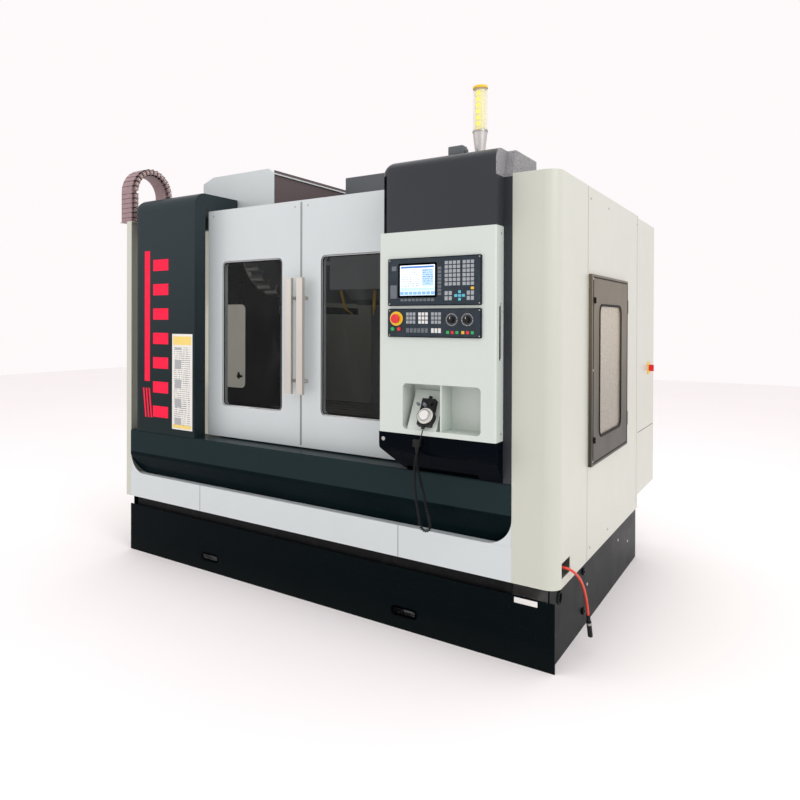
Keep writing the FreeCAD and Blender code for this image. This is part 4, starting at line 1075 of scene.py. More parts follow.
def free_line(
    name: str, points: Sequence[Point], thickness: float, finish: Finish, fine: int = 6
) -> bpy.types.Object:
    """Make a smooth round line through space.

    Args:
        name: Its name.
        points: The route's points in metres, the spline's control points.
        thickness: Its diameter, or 0 for a bare line.
        finish: Its finish.
        fine: Steps between two points.

    Returns:
        The curve's object.
    """
    curve = bpy.data.curves.new(name, "CURVE")
    curve.dimensions = "3D"
    spline = curve.splines.new("NURBS")
    spline.points.add(len(points) - 1)
    for target, point in zip(spline.points, points):
        target.co = (*point, 1.0)
    spline.order_u = 3
    spline.use_endpoint_u = True
    curve.resolution_u = fine
    curve.bevel_depth = thickness / 2
    curve.bevel_resolution = 3
    curve.use_fill_caps = True
    curve.materials.append(material_of(finish))
    item = bpy.data.objects.new(name, curve)
    bpy.context.scene.collection.objects.link(item)
    return item


def traced(points: Sequence[Point]) -> list[Vector]:
    """Read the smooth line that a route's spline follows.

    Args:
        points: The route's points in metres.

    Returns:
        Points close together along the line.
    """
    guide = free_line("guide", points, 0.0, SEAL, fine=24)
    bpy.context.view_layer.update()
    data = bpy.data.meshes.new_from_object(guide.evaluated_get(bpy.context.evaluated_depsgraph_get()))
    found = [vert.co.copy() for vert in data.vertices]
    bpy.data.meshes.remove(data)
    bpy.data.objects.remove(guide)
    return found


@dataclass
class HandLead:
    """The hand pendant's coiled lead, from its gland under the control box to the pendant."""

    thickness: float = 0.0046
    coil_radius: float = 0.0047
    pitch: float = 0.0080
    plain_start: float = 0.022
    plain_end: float = 0.105
    turn_steps: int = 12
    growing_steps: int = 18
    tail_shares: tuple[float, ...] = (0.8, 0.6, 0.42, 0.26, 0.12)
    length: float = 2.52
    exit: tuple[float, float, float] = (0.712, -1.098, 0.838)
    route: tuple[tuple[float, float, float], ...] = (
        (0.712, -1.098, 0.838),
        (0.712, -1.098, 0.786),
        (0.720, -1.099, 0.734),
        (0.735, -1.101, 0.684),
        (0.751, -1.103, 0.634),
        (0.765, -1.105, 0.584),
        (0.778, -1.107, 0.541),
        (0.781, -1.110, 0.510),
        (0.763, -1.116, 0.499),
        (0.745, -1.123, 0.510),
        (0.740, -1.126, 0.545),
        (0.733, -1.128, 0.596),
        (0.722, -1.129, 0.648),
        (0.716, -1.129, 0.700),
        (0.717, -1.128, 0.752),
        (0.724, -1.127, 0.804),
        (0.736, -1.1219, 0.858),
        (0.738, -1.0944, 0.910),
    )

    def coiled(self) -> list[Vector]:
        """Wind the lead round its route.

        Returns:
            The control points of the lead's own spline.
        """
        line = traced(self.route)
        gone = [0.0]
        for before, after in zip(line, line[1:]):
            gone.append(gone[-1] + (after - before).length)
        total = gone[-1]
        step = self.pitch / self.turn_steps
        count = int((total - self.plain_start - self.plain_end) / step)
        side = Vector((0.0, -1.0, 0.0))
        points = [line[0], self._at(line, gone, self.plain_start * 0.5)[0]]
        for number in range(count + 1):
            spot = self.plain_start + number * step
            middle, ahead = self._at(line, gone, spot)
            side = (side - ahead * side.dot(ahead)).normalized()
            other = ahead.cross(side)
            turn = math.tau * number / self.turn_steps
            growth = min(1.0, number / self.growing_steps, (count - number) / self.growing_steps)
            reach = self.coil_radius * growth
            points.append(middle + side * math.cos(turn) * reach + other * math.sin(turn) * reach)
        rest = [self.plain_end * share for share in self.tail_shares]
        points += [self._at(line, gone, total - left)[0] for left in rest]
        return points + [line[-1]]

    @staticmethod
    def _at(line: list[Vector], gone: list[float], spot: float) -> tuple[Vector, Vector]:
        """Find a place along a line.

        Args:
            line: The line's points.
            gone: The distance run at each of them.
            spot: The distance wanted.

        Returns:
            The place and the direction there.
        """
        index = next((i for i, run in enumerate(gone[1:]) if run >= spot), len(line) - 2)
        ahead = line[index + 1] - line[index]
        share = (spot - gone[index]) / max(ahead.length, 1e-9)
        return line[index] + ahead * share, ahead.normalized()

    def build(self) -> None:
        """Make the lead and its strain relief."""
        lead = free_line("coiled_lead", self.coiled(), self.thickness, LEAD, fine=3)
        lead.data.bevel_resolution = 2
        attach(lead, "machine")
        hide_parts("pendant_cord")
        start = Vector(self.exit)
        relief = Form("lead_relief").turned(
            [(0.0, 0.002), (0.0068, 0.002), (0.0066, -0.006), (0.0052, -0.018), (0.0036, -0.028)],
            start,
            (0, 0, 1),
            24,
        )
        sleeve = relief.place(BLACK_PLASTIC, "machine", "cord_rubber")


@dataclass
class AirHose:
    """The red air hose at the machine's right front corner."""

    thickness: float = 0.011
    length: float = 0.340
    collar_gap: float = 0.034
    route: tuple[tuple[float, float, float], ...] = (
        (1.222, -0.893, 0.392),
        (1.252, -0.893, 0.392),
        (1.276, -0.880, 0.384),
        (1.289, -0.852, 0.362),
        (1.296, -0.818, 0.332),
        (1.300, -0.786, 0.294),
        (1.302, -0.759, 0.252),
        (1.303, -0.738, 0.206),
        (1.304, -0.724, 0.158),
    )

    def build(self) -> None:
        """Make the hose and finish its fitting and coupler."""
        hose = free_line("air_hose", self.route, self.thickness, HOSE, fine=10)
        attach(hose, "machine")
        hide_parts("red_hose")
        dress(BRASS, "hose_fitting")
        dress(BLACK_PLASTIC, "hose_coupler")
        top = Vector(self.route[-1])
        ahead = (top - Vector(self.route[-2])).normalized()
        collar = Form("coupler_collar").turned(
            [(0.0085, 0.0), (0.0108, 0.001), (0.0108, 0.010), (0.0092, 0.012), (0.0092, 0.016)],
            top + ahead * self.collar_gap,
            ahead,
            28,
        )
        ring = collar.place(STEEL_PLAIN, "machine", "brass")


# --- sub-assemblies -----------------------------------------------------------------------------


@dataclass
class Foundation:
    """The black base, the castings on it, its feet and the white sill above it."""

    seam_y: float = -0.47
    wall_inset: float = 0.022
    latch_z: tuple[float, float] = (0.25, 0.075)
    slot_x: tuple[float, float] = (-0.591, 0.591)
    screw_spots: tuple[tuple[float, float], ...] = ((-0.42, 0.172), (0.43, 0.147), (0.20, 0.212))

    def dress(self) -> None:
        """Finish the CAD pieces."""
        dress(BASE, "base_skirt")
        dress(CASTING, "bed_casting")
        dress(STEEL_PLAIN, "leveling_feet")
        dress(WHITE, "front_sill")

    def build(self) -> None:
        """Add the seam, latches, screws, slot liners and shades, a black sheet as painted shadow in the gap
        under the sill, grommet and bare tag.
        """
        low, high = node_box("base_skirt")
        side = high.x - self.wall_inset
        seam = Form("base_seam").block(
            (side - 0.001, self.seam_y - 0.0015, 0.03), (side + 0.0004, self.seam_y + 0.0015, 0.322)
        )
        seam.place(SEAL, "machine", "black_paint")
        latches = Form("base_latches")
        for z in self.latch_z:
            latches.block(
                (side - 0.001, self.seam_y - 0.034, z - 0.013),
                (side + 0.008, self.seam_y - 0.008, z + 0.013),
                0.003,
            )
            latches.rod((side, self.seam_y - 0.021, z), (side + 0.011, self.seam_y - 0.021, z), 0.007)
        latches.place(BLACK_PLASTIC, "machine", "black_plastic")
        screws = Form("base_screws")
        for y, z in self.screw_spots:
            screws.rod((side - 0.001, y, z), (side + 0.003, y, z), 0.008, 0.006, 20)
        screws.place(STEEL_PLAIN, "machine", "zinc_steel")
        liners = Form("base_slot_liners")
        shades = Form("base_slot_shades")
        for x in self.slot_x:
            liners.border((x, low.y, 0.078), 0.128, 0.042, 0.008, 0.003, 0.019)
            shades.block((x - 0.012, low.y + 0.02, 0.070), (x + 0.05, low.y + 0.024, 0.086), 0.002)
        liners.place(SEAL, "machine", "black_plastic")
        shades.place(GREY, "machine", "zinc_steel")
        # A black sheet behind the dark gap between the sill and the base: painted shadow, which also hides
        # the castings behind it.
        shadow_sheet = Form("base_painted_shadow_plate").block((-1.205, -0.960, 0.20), (1.07, -0.954, 0.334))
        shadow_sheet.place(SEAL, "machine", "black_paint")
        bore, rim = 0.0205, 0.026
        grommet = Form("base_grommet").turned(
            [(bore, -0.004), (rim, -0.004), (0.028, 0.001), (rim, 0.005), (bore, 0.005), (bore, -0.004)],
            (side, low.y + 0.133, 0.250),
            (1, 0, 0),
            32,
        )
        grommet.place(SEAL, "machine", "cord_rubber")
        tag = Form("base_tag").block(
            (1.085, low.y - 0.0008, 0.243), (1.178, low.y + 0.001, 0.265), 0.0004
        )
        tag.place(Paint("bare_tag", tint(226, 226, 222), dust=0.3), "machine", "white_paint")


@dataclass
class Enclosure:
    """The sheet-metal walls round the machine, with their rail, guards and screws."""

    screw_radius: float = 0.006
    side_seams: tuple[float, float] = (-0.5735, 0.467)
    sill_seams: tuple[float, float] = (-0.6485, 0.5715)

    def dress(self) -> None:
        """Finish the CAD pieces."""
        dress(WARM_LIT_WHITE, "left_wall", "right_pillar", "right_side_panel", "rear_panels")
        dress(GREY, "door_rail")
        # The near zone is the cream shutter panel by the left window; its glow is painted light.
        guards = TwoZones("inner_guard_paint", tint(226, 223, 210), tint(30, 33, 35), -0.69, -0.5)
        dress(guards, "inner_guards")

    def build(self) -> None:
        """Add the side's screws, the sheets' seams and the shutter's pull."""
        low, high = node_box("right_side_panel")
        screws = Form("side_screws")
        for y in (low.y + 0.03, low.y + 0.36, high.y - 0.03):
            for z in (low.z + 0.05, high.z - 0.05):
                spot, tip = (high.x - 0.001, y, z), (high.x + 0.0025, y, z)
                screws.rod(spot, tip, self.screw_radius, 0.0045, 20)
        screws.place(STEEL_PLAIN, "machine", "zinc_steel")
        self._seams()
        pull = Form("shutter_pull")
        pull.block((-0.755, -0.592, 1.02), (-0.715, -0.580, 1.035), 0.004)
        pull.block((-0.742, -0.598, 1.012), (-0.728, -0.590, 1.052), 0.003)
        pull.place(BLACK_PLASTIC, "machine", "black_plastic")

    def _seams(self) -> None:
        """Add the lines where the sheets of the side and the sill meet."""
        low, high = node_box("right_side_panel")
        seams = Form("sheet_seams")
        for y in self.side_seams:
            seams.block(
                (high.x - 0.001, y - 0.0012, low.z + 0.002),
                (high.x + 0.0004, y + 0.0012, high.z - 0.004),
            )
        sill, _ = node_box("front_sill")
        band, _ = node_box("bezel_band")
        for x in self.sill_seams:
            seams.block((x - 0.0015, sill.y - 0.0004, sill.z + 0.002), (x + 0.0015, sill.y + 0.001, band.z))
        seams.place(SEAM, "machine", "black_plastic")


@dataclass
class ColumnCover:
    """The tall charcoal cover on the left and the black band under the doors."""

    stripe_x: float = -1.075
    bars: int = 7
    slashes: int = 3
    slash_tilt: float = -7.0
    bar_low: float = 0.785
    bar_high: float = 1.76
    plate: tuple[float, float, float, float] = (-0.866, -0.706, 0.752, 1.285)

    def dress(self) -> None:
        """Finish the CAD pieces."""
        dress(CHARCOAL, "bezel_column")
        dress(BAND, "bezel_band")

    def build(self) -> None:
        """Add the plain red stripes and the printed plate."""
        low, _ = node_box("bezel_column")
        face = low.y
        stripe = Form("red_stripe").block(
            (self.stripe_x - 0.022, face - 0.0006, 1.01),
            (self.stripe_x + 0.022, face + 0.001, self.bar_high),
        )
        stripe.place(SIGN_RED, "machine", "red_plastic")
        bars = Form("red_bars")
        pitch = (self.bar_high - self.bar_low) / self.bars
        for number in range(self.bars):
            foot = self.bar_low + pitch * (number + 0.16)
            bars.block(
                (self.stripe_x + 0.050, face - 0.0006, foot),
                (self.stripe_x + 0.176, face + 0.001, foot + pitch * 0.46),
            )
        bars.place(SIGN_RED, "machine", "red_plastic")
        for number in range(self.slashes):
            x = self.stripe_x - 0.026 + number * 0.024
            slash = Form("red_slash_%d" % (number + 1)).block(
                (x, face - 0.0006, 0.80), (x + 0.011, face + 0.001, 0.97)
            )
            slash.tilt(self.slash_tilt, (x, face, 0.88), "Y").place(SIGN_RED, "machine", "red_plastic")
        left, right, foot, top = self.plate
        head = tint(235, 208, 112)
        rows = PrintedPlate("plate_print", left, foot, right - left, top - foot, head)
        plate = Form("column_plate").block(
            (left, face - 0.0009, foot), (right, face + 0.001, top), 0.0004
        )
        plate.place(rows, "machine", "aluminium")


@dataclass
class SlidingDoor:
    """One windowed door of the front, which slides to its own side."""

    side: str
    seam: float
    window_edge: float = 0.128
    window_width: float = 0.407
    window_low: float = 0.897
    window_height: float = 0.783

    @property
    def sign(self) -> int:
        """The way in which the door opens."""
        return -1 if self.side == "left" else 1

    def dress(self) -> None:
        """Finish the CAD pieces."""
        dress(WHITE, self.side + "_door_panel")
        dress(WINDOW, self.side + "_door_glass")
        dress(STEEL_Z, self.side + "_door_handle")

    def build(self) -> None:
        """Add the window's seal and its rim, paler as a painted highlight, the meeting strip, handle caps
        and screws.
        """
        low, high = node_box(self.side + "_door_panel")
        body = self.side + "_door"
        middle_x = self.seam + self.sign * (self.window_edge + self.window_width / 2)
        middle = Vector((middle_x, low.y, self.window_low + self.window_height / 2))
        rim = Form(self.side + "_window_rim").border(
            middle,
            self.window_width + 0.014,
            self.window_height + 0.014,
            0.009,
            0.004,
            0.030,
            edge=0.0015,
        )
        # The rim's paler white is a painted highlight.
        rim.place(RIM_HIGHLIGHT, body, "white_paint")
        seal = Form(self.side + "_window_seal").border(
            middle + Vector((0, 0.001, 0)),
            self.window_width - 0.003,
            self.window_height - 0.003,
            0.006,
            0.003,
            0.022,
        )
        seal.place(SEAL, body, "black_plastic")
        edge = self.seam + self.sign * 0.0035
        strip = Form(self.side + "_meeting_strip").block(
            (edge - 0.0020, low.y - 0.0010, low.z + 0.01),
            (edge + 0.0020, low.y + 0.002, high.z - 0.01),
            0.001,
        )
        strip.place(SEAM, body, "black_plastic")
        grip_low, grip_high = node_box(self.side + "_door_handle")
        caps = Form(self.side + "_handle_caps")
        x, y = (grip_low.x + grip_high.x) / 2, grip_low.y + 0.0125
        for z, reach in ((grip_low.z + 0.001, -0.0015), (grip_high.z - 0.001, 0.0015)):
            caps.rod((x, y, z), (x, y, z + reach), 0.0105)
        caps.place(BLACK_PLASTIC, body, "black_plastic")
        rail_screws = Form(self.side + "_door_screws")
        z = high.z - 0.03
        for x in (low.x + 0.04, high.x - 0.04):
            rail_screws.rod((x, low.y + 0.001, z), (x, low.y - 0.0018, z), 0.005, 0.004, 16)
        rail_screws.place(STEEL_PLAIN, body, "zinc_steel")


class PanelPart(Enum):
    """The two panels of the control station."""

    SCREEN = "screen_panel"
    OPERATOR = "operator_panel"


@dataclass(frozen=True)
class KeyField:
    """A block of membrane keys on one panel, placed by shares of the panel's width and height."""

    name: str
    part: PanelPart
    left: float
    right: float
    low: float
    high: float
    columns: int
    rows: int
    finish: Moulded
    share: float = 0.78
    proud: float = 0.0012

    def build(self) -> None:
        """Make the block's keys as one piece."""
        low, high = node_box(self.part.value)
        width = (self.right - self.left) * (high.x - low.x)
        height = (self.high - self.low) * (high.z - low.z)
        half = Vector((width / self.columns, 0, height / self.rows)) * self.share / 2
        front = Vector((0, -self.proud, 0))
        back = Vector((0, 0.0005, 0))
        keys = Form(self.name)
        for column in range(self.columns):
            for row in range(self.rows):
                x = low.x + self.left * (high.x - low.x) + width * (column + 0.5) / self.columns
                z = low.z + self.low * (high.z - low.z) + height * (row + 0.5) / self.rows
                middle = Vector((x, low.y, z))
                keys.block(middle - half + front, middle + half + back, 0.0005, 1)
        keys.place(self.finish, "machine", "panel_plastic")


@dataclass
class ControlStation:
    """The control box with its pocket, apron, hood, panels, keys, knobs and buttons."""

    knob_z: float = 1.367
    knob_x: tuple[float, float] = (0.862, 0.929)
    scale_radius: float = 0.027
    stop: tuple[float, float] = (0.610, 1.371)

    def dress(self) -> None:
        """Finish the CAD pieces."""
        dress(BOX_WHITE, "control_box")
        dress(APRON, "control_apron")
        dress(HOOD, "control_hood", "hood_end_plate")
        dress(PANEL, "screen_panel", "operator_panel")
        low, high = node_box("display")
        image = ScreenImage("display_image", low.x, low.z, high.x - low.x, high.z - low.z)
        dress(image, "display")
        dress(YELLOW, "estop_collar")
        dress(RED, "estop_button", "red_button")
        dress(GREEN, "green_button")
        dress(BLACK_PLASTIC, "feed_knob", "speed_knob")

    def fields(self) -> list[KeyField]:
        """List the blocks of keys on both panels.

        Returns:
            The blocks, each a piece of its own.
        """
        upper, lower = PanelPart.SCREEN, PanelPart.OPERATOR
        return [
            KeyField("soft_keys_side", upper, 0.548, 0.596, 0.20, 0.80, 1, 8, KEY_DARK),
            KeyField("soft_keys_low", upper, 0.140, 0.520, 0.085, 0.155, 9, 1, KEY_DARK),
            KeyField("letter_keys", upper, 0.622, 0.790, 0.39, 0.91, 4, 6, KEY_GREY),
            KeyField("number_keys", upper, 0.806, 0.930, 0.39, 0.91, 3, 6, KEY_GREY),
            KeyField("edit_keys", upper, 0.622, 0.706, 0.09, 0.30, 2, 2, KEY_GREY),
            KeyField("page_keys", upper, 0.850, 0.930, 0.09, 0.30, 2, 2, KEY_GREY),
            KeyField("warn_key", upper, 0.890, 0.930, 0.305, 0.375, 1, 1, KEY_YELLOW),
            KeyField("cursor_up", upper, 0.764, 0.798, 0.235, 0.305, 1, 1, KEY_BLUE),
            KeyField("cursor_down", upper, 0.764, 0.798, 0.085, 0.155, 1, 1, KEY_BLUE),
            KeyField("cursor_sides", upper, 0.722, 0.840, 0.160, 0.230, 3, 1, KEY_BLUE),
            KeyField("mode_keys", lower, 0.205, 0.315, 0.46, 0.88, 3, 3, KEY_GREY),
            KeyField("axis_keys", lower, 0.340, 0.452, 0.46, 0.88, 3, 3, KEY_WHITE),
            KeyField("jog_keys", lower, 0.480, 0.592, 0.46, 0.88, 3, 3, KEY_GREY),
            KeyField("spindle_keys", lower, 0.205, 0.452, 0.14, 0.34, 6, 1, KEY_DARK),
            KeyField("coolant_keys", lower, 0.480, 0.592, 0.14, 0.34, 3, 1, KEY_WHITE),
            KeyField("start_key", lower, 0.640, 0.678, 0.12, 0.25, 1, 1, GREEN),
            KeyField("hold_key", lower, 0.688, 0.726, 0.12, 0.25, 1, 1, RED),
            KeyField("cycle_key", lower, 0.736, 0.774, 0.12, 0.25, 1, 1, GREEN),
            KeyField("light_key", lower, 0.796, 0.834, 0.12, 0.25, 1, 1, KEY_YELLOW),
            KeyField("release_key", lower, 0.844, 0.882, 0.12, 0.25, 1, 1, RED),
            KeyField("reset_key", lower, 0.892, 0.930, 0.12, 0.25, 1, 1, GREEN),
        ]

    def build(self) -> None:
        """Add keys, frames, scales, screws, the hood's gland and the apron's lock."""
        for block in self.fields():
            block.build()
        self._frames()
        self._dials()
        self._fixings()

    def _frames(self) -> None:
        """Add the raised frames round the display and both panels, and two flaps."""
        low, high = node_box("display")
        middle = (low + high) / 2
        panel_low, panel_high = node_box("screen_panel")
        frame_piece = Form("display_frame").border(
            (middle.x, panel_low.y, middle.z),
            high.x - low.x + 0.018,
            high.z - low.z + 0.018,
            0.010,
            0.0042,
            0.006,
            edge=0.0008,
        )
        frame_piece.place(BLACK_PLASTIC, "machine", "black_plastic")
        rims = Form("panel_rims")
        for part in PanelPart:
            low, high = node_box(part.value)
            middle = (low + high) / 2
            rims.border(
                (middle.x, low.y, middle.z),
                high.x - low.x,
                high.z - low.z,
                0.004,
                0.0014,
                0.006,
                edge=0.0005,
            )
        rims.place(KEY_DARK, "machine", "panel_plastic")
        flap = Form("socket_flap").block(
            (panel_low.x + 0.012, panel_low.y - 0.0022, panel_low.z + 0.030),
            (panel_low.x + 0.044, panel_low.y + 0.0005, panel_low.z + 0.088),
            0.002,
        )
        flap.block(
            (panel_low.x + 0.018, panel_low.y - 0.0012, panel_high.z - 0.052),
            (panel_low.x + 0.040, panel_low.y + 0.0005, panel_high.z - 0.032),
            0.001,
        )
        flap.place(KEY_DARK, "machine", "panel_plastic")

    def _dials(self) -> None:
        """Add the scales behind the knobs, the knobs' pointers and the stop's ring."""
        low, _ = node_box("operator_panel")
        ground, marks = tint(44, 48, 52), tint(226, 228, 228)
        for x, name in zip(self.knob_x, ("feed", "speed")):
            body = name + "_knob"
            scale = DialFace(name + "_scale_print", x, self.knob_z, self.scale_radius, ground, marks)
            disc = Form(name + "_scale").turned(
                [
                    (0.0036, 0.0),
                    (0.0036, 0.0006),
                    (self.scale_radius, 0.0006),
                    (0.0272, 0.0),
                    (0.0036, 0.0),
                ],
                (x, low.y + 0.0001, self.knob_z),
                (0, -1, 0),
                48,
            )
            disc.place(scale, "machine", "black_plastic")
            knob_low, knob_high = node_box(body)
            line = Form(name + "_pointer").block(
                (x - 0.0008, knob_low.y - 0.0006, self.knob_z + 0.002),
                (x + 0.0008, knob_low.y + 0.0006, knob_high.z - 0.002),
            )
            line.place(KEY_WHITE, body, "pendant_plastic")
        x, z = self.stop
        front = node_box("estop_button")[0].y
        ridge = Form("stop_ridge").turned(
            [(0.0065, 0.0), (0.0075, 0.0007), (0.0085, 0.0)], (x, front + 0.0004, z), (0, -1, 0), 36
        )
        ridge.place(RED, "estop", "red_plastic")

    def _fixings(self) -> None:
        """Add the screws, the hood's cable gland, the slot in the box's side and the apron's lock."""
        screws = Form("panel_screws")
        for part in PanelPart:
            low, high = node_box(part.value)
            for x in (low.x + 0.008, high.x - 0.008):
                for z in (low.z + 0.008, high.z - 0.008):
                    screws.rod((x, low.y + 0.0003, z), (x, low.y - 0.0016, z), 0.0035, 0.0028, 16)
        box_low, box_high = node_box("control_box")
        y = -1.03
        for z in (box_low.z + 0.03, box_high.z - 0.03):
            screws.rod((box_high.x - 0.0005, y, z), (box_high.x + 0.002, y, z), 0.005, 0.004, 16)
        screws.place(STEEL_PLAIN, "machine", "zinc_steel")
        _, hood_high = node_box("control_hood")
        gland = Form("hood_gland")
        y, z = -0.96, hood_high.z + 0.025
        gland.block(
            (0.795, y - 0.025, hood_high.z - 0.001), (0.862, y + 0.025, hood_high.z + 0.050), 0.005
        )
        gland.rod((0.855, y, z), (0.872, y, z), 0.014, 0.011, 24)
        gland.place(GREY, "machine", "grey_paint")
        slot = Form("control_box_slot").block(
            (box_high.x - 0.001, -1.047, 1.206), (box_high.x + 0.0006, -1.037, 1.420), 0.0004
        )
        slot.place(SEAL, "machine", "black_plastic")
        apron_low, apron_high = node_box("control_apron")
        lock = Form("apron_lock").turned(
            [(0.0, 0.004), (0.007, 0.004), (0.009, 0.0025), (0.009, -0.001)],
            (apron_low.x + 0.022, apron_low.y, apron_high.z - 0.030),
            (0, -1, 0),
            28,
        )
        lock.place(STEEL_PLAIN, "machine", "zinc_steel")


@dataclass
class HandPendant:
    """The hand pendant that leans in the pocket, with its wheel, scale and selectors."""

    centre: tuple[float, float, float] = (0.738, -1.0754, 0.9669)
    face: tuple[float, float, float] = (0.0, -0.8829, 0.4695)

    def dress(self) -> None:
        """Finish the CAD pieces."""
        dress(BLACK_PLASTIC, "pendant", "cord_gland")
        # The wheel's centre is white as a painted highlight; its outer ring is pale plastic.
        dress(PALE_WHEEL_AND_HIGHLIGHT, "pendant_wheel")

    def build(self) -> None:
        """Add the pale scale, the wheel's grip ring and the selector caps."""
        out = Vector(self.face).normalized()
        up = Vector((0.0, -out.z, -out.y)).normalized()
        wheel = Vector(self.centre)
        scale = Form("pendant_scale").turned(
            [(0.0262, 0.0), (0.0262, 0.0012), (0.0345, 0.0012), (0.0350, 0.0), (0.0262, 0.0)],
            wheel - out * 0.0001,
            out,
            56,
        )
        ticks = DialFace(
            "pendant_scale_print", wheel.x, wheel.z, 0.0345, tint(224, 224, 216), tint(40, 42, 44), 50
        )
        scale.place(ticks, "machine", "pendant_plastic")
        ring = Form("wheel_grip").turned(
            [(0.0205, 0.0124), (0.0215, 0.0136), (0.0240, 0.0136), (0.0252, 0.0122), (0.0252, 0.0080)],
            wheel,
            out,
            48,
        )
        ring.place(ALUMINIUM, "pendant_wheel", "aluminium")
        caps = Form("selector_caps")
        for side in (-1, 1):
            spot = wheel + up * 0.0545 + Vector((side * 0.0148, 0, 0))
            caps.turned([(0.0, 0.0155), (0.0052, 0.0155), (0.0064, 0.0140), (0.0068, 0.0)], spot, out, 20)
        caps.place(KEY_DARK, "machine", "black_plastic")


@dataclass
class SideDoor:
    """The hinged door of the right side, with its hazy pane, seals and hinges."""

    window: tuple[float, float, float, float] = (-0.421, -0.005, 0.850, 1.430)

    def dress(self) -> None:
        """Finish the CAD pieces."""
        dress(TAUPE, "side_door_frame")
        low, high = node_box("side_door_glass")
        pane = SpeckledPane("hazy_pane", tint(186, 177, 158), tint(140, 134, 120), low.z, high.z)
        dress(pane, "side_door_glass")
        dress(BLACK_PLASTIC, "lower_latch", "upper_latch")

    def build(self) -> None:
        """Add the pane's seal, the door's rubber edge, hinges and screws."""
        low, high = node_box("side_door_frame")
        front, rear, foot, top = self.window
        seal = Form("side_window_seal").border(
            (high.x, (front + rear) / 2, (foot + top) / 2),
            rear - front + 0.020,
            top - foot + 0.020,
            0.010,
            0.003,
            0.044,
            Axis.X,
            0.001,
        )
        seal.place(SEAL, "side_door", "black_plastic")
        edge = Form("side_door_edge").border(
            (high.x - 0.001, (low.y + high.y) / 2, (low.z + high.z) / 2),
            high.y - low.y - 0.040,
            high.z - low.z - 0.020,
            0.006,
            0.0022,
            0.010,
            Axis.X,
        )
        edge.place(SEAL, "side_door", "black_plastic")
        hinges = Form("side_door_hinges")
        x, y = high.x - 0.006, high.y + 0.002
        for z in (low.z + 0.13, high.z - 0.13):
            hinges.rod((x, y, z - 0.035), (x, y, z + 0.035), 0.0065, sides=20, edge=0.001)
        hinges.place(STEEL_PLAIN, "machine", "zinc_steel")
        screws = Form("side_door_screws")
        for y in (low.y + 0.02, high.y - 0.02):
            for z in (low.z + 0.02, (low.z + high.z) / 2, high.z - 0.02):
                screws.rod((high.x - 0.0005, y, z), (high.x + 0.002, y, z), 0.005, 0.004, 16)
        screws.place(STEEL_PLAIN, "side_door", "zinc_steel")


@dataclass
class SignalLamp:
    """The signal lamp on the hood: a turned foot, a column of lights and a clear tube."""

    foot_top: float = 2.165

    def dress(self) -> None:
        """Finish the CAD pieces."""
        low, high = node_box("tower_light_base")
        dress(LampPole("lamp_pole", self.foot_top + 0.002, (low.x + high.x) / 2), "tower_light_base")
        dress(CLEAR, "tower_light_lens")

    def build(self) -> None:
        """Add the joint ring and the tube's cap."""
        low, high = node_box("tower_light_lens")
        middle = (low + high) / 2
        ring = Form("lamp_ring").turned(
            [(0.0300, -0.004), (0.0322, -0.003), (0.0322, 0.004), (0.0312, 0.006)],
            (middle.x, middle.y, low.z),
            (0, 0, 1),
            40,
        )
        ring.place(STEEL_PLAIN, "machine", "brushed_steel")
        cap = Form("lamp_cap").turned(
            [(0.0, 0.0), (0.022, -0.0005), (0.0305, -0.004), (0.0318, -0.011), (0.0312, -0.014)],
            (middle.x, middle.y, high.z),
            (0, 0, 1),
            40,
        )
        cap.place(YELLOW, "machine", "yellow_plastic")


@dataclass
class Cabinet:
    """The electrical cabinet behind the machine, with its door and main switch."""

    lock_z: tuple[float, ...] = (0.62, 1.17, 1.72)
    hinge_z: tuple[float, ...] = (0.60, 1.17, 1.74)
    slats: int = 12
    slat_pitch: float = 0.016

    def dress(self) -> None:
        """Finish the CAD pieces."""
        dress(WARM_LIT_WHITE, "electrical_cabinet", "cabinet_door")
        dress(YELLOW, "main_switch_plate")
        dress(RED, "main_switch_handle")

    def build(self) -> None:
        """Add the side seam, the door's locks, grille and hinges, and the switch's pointer."""
        low, high = node_box("electrical_cabinet")
        seam = Form("cabinet_seam").block(
            (high.x - 0.001, low.y + 0.01, 0.739), (high.x + 0.0004, high.y - 0.002, 0.742)
        )
        seam.place(SEAL, "machine", "black_plastic")
        door_low, door_high = node_box("cabinet_door")
        x, y = door_high.x - 0.05, door_high.y
        locks = Form("cabinet_locks")
        for z in self.lock_z:
            locks.rod((x, y - 0.001, z), (x, y + 0.004, z), 0.014, 0.012, 28)
            locks.block((x - 0.004, y + 0.003, z - 0.009), (x + 0.004, y + 0.006, z + 0.009), 0.001)
        locks.place(BLACK_PLASTIC, "cabinet_door", "black_plastic")
        grille = Form("cabinet_grille")
        for number in range(self.slats):
            z = 0.55 + number * self.slat_pitch
            grille.block((0.68, y - 0.001, z), (0.92, y + 0.004, z + 0.005), 0.002, 1)
        grille.place(GREY, "cabinet_door", "grey_paint")
        hinges = Form("cabinet_hinges")
        x, y = door_low.x + 0.001, door_high.y + 0.001
        for z in self.hinge_z:
            hinges.rod((x, y, z - 0.03), (x, y, z + 0.03), 0.006, sides=20)
        hinges.place(STEEL_PLAIN, "machine", "zinc_steel")
        turn_low, turn_high = node_box("main_switch_handle")
        middle = (turn_low + turn_high) / 2
        mark = Form("switch_mark").block(
            (turn_high.x - 0.0004, middle.y - 0.001, middle.z + 0.004),
            (turn_high.x + 0.0006, middle.y + 0.001, turn_high.z - 0.002),
        )
        mark.place(KEY_WHITE, "main_switch", "pendant_plastic")


